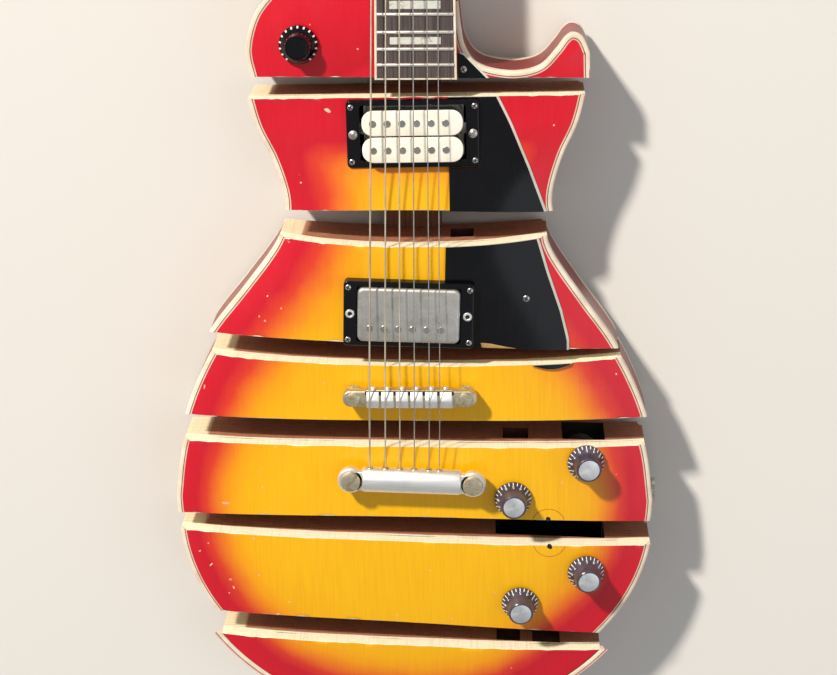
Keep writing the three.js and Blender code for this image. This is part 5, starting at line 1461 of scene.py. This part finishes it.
def fingerboard():
    board = Piece("bound_fingerboard")
    edge, end = BOARD_EDGE, NUT_Y - 0.3
    inner = ((edge - board_half(0), 0.2), (board_half(0) - edge, 0.2),
             (board_half(end) - edge, end), (edge - board_half(end), end))
    board.add(raised(inner, 0.3, BOARD_HIGH, 0.1, 1), ROSEWOOD, IN_NECK)
    for side in (-1, 1):
        line = [(side * (board_half(0) - edge), 0), (side * board_half(0), 0),
                (side * board_half(end), end), (side * (board_half(end) - edge), end)]
        board.add(raised(line if side > 0 else line[::-1], 0.3, BOARD_HIGH + 0.05, 0.3, 3),
                  BINDING, IN_NECK)
    tail = ((edge - board_half(0), 0), (board_half(0) - edge, 0), (board_half(0) - edge, 1.2),
            (edge - board_half(0), 1.2))
    board.add(raised(tail, 0.3, BOARD_HIGH + 0.04, 0.2, 2), BINDING, IN_NECK)
    crown = [(1.2 * math.cos(a), 1.1 * math.sin(a)) for a in np.linspace(0, math.pi, 9)]
    crown = [*crown, (-1.2, -0.4), (1.2, -0.4)]
    for number in range(1, FRETS + 1):
        y = fret_y(number)
        stand = moved(IN_NECK, 0, y, BOARD_HIGH) @ ACROSS
        half = board_half(y) - edge
        board.add(raised([(-p, q) for p, q in crown][::-1], -half, half, 0.5, 3), FRET_METAL, stand)
    for number in INLAY_FRETS:
        near, far = fret_y(number), fret_y(number - 1)
        long = 0.43 * (far - near)
        block = raised(rounded_rectangle(33.5, long, 0.4, 2), BOARD_HIGH - 1, BOARD_HIGH + 0.12, 0.05, 1)
        board.add(block, PEARL, moved(IN_NECK, 0, (near + far) / 2))
    board.make("fretboard", slot="fingerboard_wood")


fingerboard()
print("last fret", round(fret_y(FRETS), 1), "mm from the board's end, nut at", round(NUT_Y, 1))

# %% [markdown]
# The strings are still whole and run over every gap. The three bass ones are steel wound with nickel
# wire, which fills with old skin and goes pale and matt; the three treble ones are plain steel. Each
# goes over its saddle and the nut, and is wound round its post.

# %% Strings
def wound_wire():
    material, tree, place = new_material("nickel_wound_string")
    cloud = add_node(tree, "TexNoise", {"Vector": place, "Scale": per_mm(20), "Detail": 4})
    colour = add_node(tree, "ValToRGB", {"Fac": cloud}, stops=((0.3, "#b8b0a0"), (0.7, "#e2dccb")))
    turns = add_node(tree, "Mapping", {"Vector": place, "Scale": stretch(40, 2.2, 40)})
    turns = add_node(tree, "TexWave", {"Vector": turns, "Scale": 1}, output="Fac",
                     bands_direction="Y")
    relief = add_node(tree, "Bump", {"Height": turns, "Distance": 0.08 * MM})
    return finish_material(material, {
        "Base Color": colour, "Metallic": 0.8, "Roughness": 0.42, "Normal": relief,
    })


WOUND = wound_wire()
POST_R, POST_X, WIND_HIGH = 3.0, 24.0, 7.0
COIL_STEPS = 16                  # points in one turn round a post
NUT_SPREAD = 35.6                # from the first string to the sixth
TUNER_Y = [40.0 + 40.0 * k for k in range(3)]


def tuner_spot(number):
    """Side, and place along the head, of the tuner that a string goes to."""
    side = -1 if number < 3 else 1
    return side, TUNER_Y[number if side < 0 else 5 - number]


def string_route(number, radius, saddle):
    """A string's points from its post, over the nut and its saddle, into the tailpiece."""
    side, y = tuner_spot(number)
    reach = POST_R + 0.25 + radius
    post = moved(IN_HEAD, side * POST_X, y)
    coil = []
    turns = 2.6 if number < 3 else 4.2
    for step in range(int(turns * COIL_STEPS) + 1):
        angle = -side * (2 * math.pi * step / COIL_STEPS)
        high = WIND_HIGH - 2.1 * radius * step / COIL_STEPS
        angle += math.pi if side > 0 else 0
        coil.append(post @ Vector((reach * math.cos(angle), reach * math.sin(angle), high)))
    slot = -1 + NUT_SPREAD * (number / 5 - 0.5)
    nut = [IN_NECK @ Vector((slot, NUT_Y + along, 8.3 + radius)) for along in (4.6, 2.4, 0.2)]
    seat_4 = DRAWN @ SEAT[3]
    crest = [seat_4 @ Vector((BRIDGE[0] + saddle, BRIDGE[1] + along, SADDLE_TOP + 0.3 + radius - drop))
             for along, drop in ((1.4, 0.05), (0, 0), (-1.4, 0.35))]
    hook = [TAIL_PLACE @ Vector((saddle - TAIL[0], along, TAIL_LOW + 4.8)) for along in (9.6, 7.0)]
    return [*coil[::-1], *nut, *crest, *hook]


def strings():
    for number, (name, radius, saddle) in enumerate(STRINGS):
        route = [tuple(p) for p in string_route(number, radius, saddle)]
        wire = Piece(f"wire_{name}")
        wire.add(drawn_wire(route, radius * MM), WOUND if number < 3 else STEEL, Matrix())
        wire.make(name, slot="steel", smooth=60)


strings()
print("strings", [name for name, _, _ in STRINGS])

# %% [markdown]
# The headstock is out of the photograph, so it is finished plainly: a black lacquered face, a cover
# over the truss rod, metal buttons with rounded edges, and enclosed tuners.

# %% Headstock
def curve_through(start, control, end, steps=8):
    """Points of a quadratic curve after its start."""
    start, control, end = (np.array(p, float) for p in (start, control, end))
    ts = [(k + 1) / steps for k in range(steps)]
    return [tuple((1 - t) ** 2 * start + 2 * t * (1 - t) * control + t * t * end) for t in ts]


def head_outline(inset=0.3):
    half, long = 21.5, 168.0
    right = [(half, 0), (half, 6), *curve_through((half, 6), (half + 2, 18), (38, 26)),
             (35, long - 16), *curve_through((35, long - 16), (30, long), (12, long - 3)),
             *curve_through((12, long - 3), (6, long - 7), (0, long - 7.5))]
    left = [(-x, y) for x, y in right[:-1]]
    return [(x * (1 - inset / 38), y - inset * (y > 150)) for x, y in right + left[::-1]]


def headstock():
    face = Piece("black_headstock_face")
    face.add(raised(head_outline(), 0.02, 0.6, 0.25), BLACK_ABS, IN_HEAD)
    face.make()
    screws("truss_cover_screws", [moved(IN_HEAD, x, y, 2.1) for x, y in ((-7, 7), (7, 7), (0, 33))],
           1.7, 0.9)
    plate_top = -14.3
    spots = []
    for side in (-1, 1):
        for low, high in zip([TUNER_Y[0] - 11.2, *[y + 10.9 for y in TUNER_Y]],
                             [*[y - 10.9 for y in TUNER_Y], TUNER_Y[2] + 11.2]):
            spots.append((side * POST_X, (low + high) / 2))
    turned_over = Matrix.Rotation(math.pi, 4, "X")
    screws("tuner_plate_screws", [moved(IN_HEAD, x, y, plate_top - 1.2) @ turned_over
                                  for x, y in spots], 1.8, 0.9)


def tuner_buttons():
    for number in range(6):
        name = f"tuner_button_{6 - number}"
        place = joint_place(name)
        grip = Matrix.Translation((0, 0, 12 + 8.5)) @ Matrix.Rotation(math.pi / 2, 4, "X")
        button = Piece(f"rounded_{name}", name)
        kidney = [(x * (1 - 0.10 * abs(math.sin(y / 8.5))), y)
                  for x, y in rounded_rectangle(21, 17, 7.3, 8)]
        button.add(raised(kidney, -3.5, 3.5, 2.6, 6), NICKEL, place @ grip)
        button.add(lathe([(0, -9), (1.9, -9), (1.9, 7.5), (2.6, 8.2), (3.0, 11), (3.0, 13.2),
                          (0, 13.2)], 28), NICKEL, place)
        button.make(name, slot="nickel")


headstock()
tuner_buttons()
print("tuners along the head at", TUNER_Y, "mm")

# %% [markdown]
# Knocks have chipped the lacquer. A chip shows its pale broken edge and the wood, so each is a thin
# irregular flake that follows the arch of the face. Their places are pixels of the photo: the line of
# sight through one meets the face, and the slice's seat turns that back to the unsawn body. A pixel
# whose line falls in a gap gives no chip.

# %% Chips in the lacquer
CHIPPED = old_plastic("chipped_lacquer", "#efc9ad", "#d79a7c", "#8a4a34", 0.5, 0.5, 0.7)
MARKED = old_plastic("stained_lacquer", "#c8761c", "#b0560f", "#7a3a10", 0.5, 0.4, 0.6)
CAMERA_AT = at(58.8, 299.3, RIM + 1440)
CAMERA_RIGHT = Vector((0.99923, -0.01248, -0.03725))
CAMERA_UP = Vector((0.0, 0.94822, -0.31762))
CAMERA_BACK = Vector((0.03929, 0.31738, 0.94749))
SENSOR, LENS = 36, 94.62         # millimetres
PHOTO = (837, 675)
CHIPS = (                        # pixel across and down, length and width in millimetres
    (326.7, 112.0, 5.2, 2.6), (267.5, 296.0, 1.6, 1.2), (259.3, 316.0, 1.8, 1.2),
    (203.8, 388.3, 4.2, 1.3), (222.7, 416.0, 3.6, 1.0), (284.3, 420.3, 2.6, 0.8),
    (226.0, 502.5, 6.0, 2.0), (210.8, 565.7, 3.4, 1.2), (199.4, 552.6, 2.2, 1.2),
    (230.5, 580.0, 2.6, 1.6), (233.5, 588.0, 3.0, 1.4), (229.0, 594.0, 1.6, 1.1),
    (278.0, 613.7, 3.6, 1.1), (257.6, 469.8, 1.1, 0.7), (289.6, 600.6, 1.4, 0.9),
    (616.5, 375.5, 1.8, 1.3), (451.5, 617.0, 2.2, 1.2),
)


def unsawn_place(pixel_x, pixel_y):
    """Which slice a pixel of the photo shows, and its place on the unsawn body."""
    across, down = pixel_x - PHOTO[0] / 2, pixel_y - PHOTO[1] / 2
    ray = (CAMERA_RIGHT * across - CAMERA_UP * down) * SENSOR / LENS / PHOTO[0] - CAMERA_BACK
    face = at(0, 0, RIM + 5).z
    spread = DRAWN.inverted() @ (CAMERA_AT + ray * ((face - CAMERA_AT.z) / ray.z))
    for index, place in enumerate(SEAT):
        x, y, _ = place.inverted() @ spread
        high = edge_y(CUTS[index - 1], "under", x) if index else 100
        low = edge_y(CUTS[index], "over", x) if index < len(CUTS) else TAIL_Y
        if low + 0.4 < y < high - 0.4:
            return index, x, y
    return None


def flake(x, y, length, width, seed, deep=0.5, proud=0.05):
    """A thin patch with a broken outline, which follows the face round a place on it."""
    random = np.random.default_rng(seed)
    turn = np.linspace(0, 2 * math.pi, 12, endpoint=False)
    reach = random.uniform(0.7, 1.1, len(turn)) / 2
    lean = random.uniform(0, math.pi)
    along, across = length * reach * np.cos(turn), width * reach * np.sin(turn)
    px = x + along * math.cos(lean) - across * math.sin(lean)
    py = y + along * math.sin(lean) + across * math.cos(lean)
    face = top_height(px, py)
    points = [(a, b, c + step) for step in (-deep, proud) for a, b, c in zip(px, py, face)]
    return points, tube_faces(2, len(turn))


chips = Piece("lacquer_chips")
for number, (pixel_x, pixel_y, length, width) in enumerate(CHIPS):
    found = unsawn_place(pixel_x, pixel_y)
    if found:
        index, x, y = found
        chips.add(flake(x, y, length, width, number), CHIPPED, on_slice(index, 0, 0))
        print("chip", number, "on slice", index + 1, "at", round(x, 1), round(y, 1))
chips.make()

# %% [markdown]
# Cut 5 runs through an old hole with a ring pressed into the lacquer round it, so each of the two
# slices keeps an arc of the ring; the hole itself is a flat black flake of painted shade. And at the
# third slice's lower edge the saw has torn up a splinter of maple, past the edge of the pickguard.

# %% Ring mark and splinter
HOLE_AT, HOLE_R, RING_MARK_R = (97.5, -260.7), 2.2, 11.6
marks = Piece("ring_mark")
for index, side, way in ((4, "over", 1), (5, "under", -1)):
    turn = np.linspace(0.05, math.pi - 0.05, 40) * way
    x, y = HOLE_AT[0] + RING_MARK_R * np.cos(turn), HOLE_AT[1] + RING_MARK_R * np.sin(turn)
    kept = (y - edge_y(CUTS[4], side, x)) * way > 0.4
    arc = [tuple(p) for p in np.stack((x, y, top_height(x, y) - 0.15), -1)[kept]]
    marks.add(drawn_wire(arc, 0.32, 8), MARKED, on_slice(index, 0, 0))
    hole_y = edge_y(CUTS[4], side, HOLE_AT[0]) + way * HOLE_R * 0.4
    # painted shade: the old hole is a flat black flake on the face, not a bore
    hole = flake(HOLE_AT[0], hole_y, 2 * HOLE_R, 1.6 * HOLE_R, 40 + index, proud=0.06)
    marks.add(hole, SHIELDING_PAINT_AND_SHADE, on_slice(index, 0, 0))
marks.make()
TORN = ((46.7, -151.8), (46.9, -155.9), (56.0, -156.0), (74.0, -156.0), (66.0, -154.7), (57.0, -152.9))
torn_z = float(top_height(60.0, -154.0)) + GUARD_THICK
splinter = Piece("torn_splinter")
splinter.add(raised(TORN, torn_z - 3.0, torn_z + 0.35, 0.3, 2), TORN_MAPLE, on_slice(2, 0, 0))
splinter.make()
print("ring mark round", HOLE_AT, "and a splinter", TORN[3][0] - TORN[0][0], "mm long")

# %% [markdown]
# On the back, stamped black plates close the hollow behind the controls. They were sawn with the
# body. A round one closes the hollow behind the upper slice's control.

# %% Cover plates
COVER_LEFT, COVER_RIGHT = 59.4, 136.6


def cover_plate(index, high, low):
    """A flat plate made as the pickguard is, then laid on the back of its slice."""
    edge = ((-400, COVER_RIGHT), (0, COVER_RIGHT))
    plate = guard_strip(f"control_cover_{index + 1}", index, COVER_LEFT, edge, high, low, slope=0)
    mesh = plate.data
    local = to_body(vertex_places(mesh), index)
    rise = local[:, 2] - top_height(local[:, 0], local[:, 1])
    local[:, 2] = GUARD_THICK + 0.15 - rise
    mesh.vertices.foreach_set("co", to_frame(local, index).ravel())
    mesh.flip_normals()
    mesh.update()
    shade(plate, 30)


cover_plate(4, level_line(-221.3), sawn(4, "over"))
cover_plate(5, sawn(4, "under"), level_line(-320.7))
selector_cover = Piece("selector_cover")
selector_cover.add(lathe([(0, -1.3), (19.4, -1.3), (20, -0.7), (20, 0.1), (0, 0.1)], 64), BLACK_ABS,
                   on_slice(0, -77.9, 22))
selector_cover.make(slot="black_plastic")
under = Matrix.Rotation(math.pi, 4, "X")
COVER_SCREWS = (                 # slice, and its place on the unsawn body
    (4, 64, -226), (4, 132, -226), (5, 64, -316), (5, 132, -316), (4, 134, -252), (5, 134, -272),
)
screws("cover_screws", [on_slice(i, x, y, 0.1) @ under for i, x, y in COVER_SCREWS], 2.4, 1.0)
print("cover plates on the back of slices 5, 6 and 1")

# %% [markdown]
# The CAD solids that already have their right shape keep it, and only take a finish: the neck, the
# batten, the nut, the tuners' plates and posts, the controls' bodies, the jack and the strap buttons.

# %% Batten
def rough_timber():
    material, tree, place = new_material("rough_sawn_spruce")
    grain = add_node(tree, "Mapping", {"Vector": place, "Scale": stretch(2.5, 90, 3)})
    grain = add_node(tree, "TexNoise", {"Vector": grain, "Scale": 1, "Detail": 5})
    wood = add_node(tree, "ValToRGB", {"Fac": grain},
                    stops=((0.3, "#5c3a2a"), (0.55, "#7b5138"), (0.8, "#93694a")))
    saw = add_node(tree, "Mapping", {"Vector": place, "Scale": stretch(20, 1.2, 20)})
    saw = add_node(tree, "TexNoise", {"Vector": saw, "Scale": 1, "Detail": 2})
    relief = add_node(tree, "Bump", {"Height": saw, "Distance": 0.3 * MM})
    return finish_material(material, {"Base Color": wood, "Roughness": 0.85, "Normal": relief})


TIMBER = rough_timber()
FINISHES = {
    "neck": CHERRY_LACQUER, "spine": TIMBER, "nut": BONE, "truss_rod_cover": BLACK_ABS,
    "tuner_plate_bass": NICKEL, "tuner_plate_treble": NICKEL, "neck_pickup_base": NICKEL,
    "jack_socket": NICKEL, "strap_button_neck": NICKEL, "strap_button_tail": NICKEL,
    "selector_switch": STEEL,
}
FINISHES.update({f"tuner_post_{k}": NICKEL for k in range(1, 7)})
FINISHES.update({f"pot_{where}": DARK_STEEL for where in
                 ("upper_treble", "upper_middle", "lower_treble", "lower_middle")})
for node, finish in FINISHES.items():
    solid = bpy.data.objects[node]
    for slot in solid.material_slots:
        slot.material = finish
print("finished", len(FINISHES), "CAD solids in place")

# %% [markdown]
# The floor is a plain pale sheet. A soft key lamp stands high on the upper left, as the sun did,
# so that each slice shades the sawn face below it except for a bright strip along the cap.

# %% Floor
def plain_floor():
    material = bpy.data.materials.new("pale_paper")
    material.use_nodes = True
    finish_material(material, {"Base Color": "#dcdad6", "Roughness": 0.9})
    mesh = bpy.data.meshes.new("floor")
    size = 6.0
    mesh.from_pydata([(-size, -size, 0), (size, -size, 0), (size, size, 0), (-size, size, 0)], [],
                     [(0, 1, 2, 3)])
    mesh.materials.append(material)
    floor = bpy.data.objects.new("floor", mesh)
    bpy.context.scene.collection.objects.link(floor)


plain_floor()

# %% Lamps
def soft_lamp(name, towards, away, size, power, colour):
    """A square lamp that shines at the body from a direction."""
    lamp = bpy.data.lights.new(name, "AREA")
    lamp.size = size
    lamp.energy = power
    lamp.color = hex_colour(colour)[:3]
    holder = bpy.data.objects.new(name, lamp)
    bpy.context.scene.collection.objects.link(holder)
    aim = at(0, -220, RIM)
    holder.location = aim + Vector(towards).normalized() * away
    holder.rotation_euler = (aim - holder.location).to_track_quat("-Z", "Y").to_euler()


soft_lamp("key", (-0.44, 0.68, 0.60), 6.0, 0.4, 470, "#fff6ea")
soft_lamp("fill", (0.7, -0.1, 0.9), 3.0, 2.5, 14, "#f2f6ff")
world = bpy.data.worlds.new("studio")
bpy.context.scene.world = world
world.use_nodes = True
world.node_tree.nodes["Background"].inputs["Color"].default_value = hex_colour("#f4f4f2")
world.node_tree.nodes["Background"].inputs["Strength"].default_value = 0.38
bpy.context.scene.view_settings.view_transform = "Standard"

# %% Camera
camera = bpy.data.cameras.new("camera")
camera.sensor_width = SENSOR
camera.lens = LENS
camera.clip_end = 20
viewer = bpy.data.objects.new("camera", camera)
bpy.context.scene.collection.objects.link(viewer)
turn = Matrix((CAMERA_RIGHT, CAMERA_UP, CAMERA_BACK)).transposed().to_4x4()
viewer.matrix_world = Matrix.Translation(CAMERA_AT) @ turn
bpy.context.scene.camera = viewer
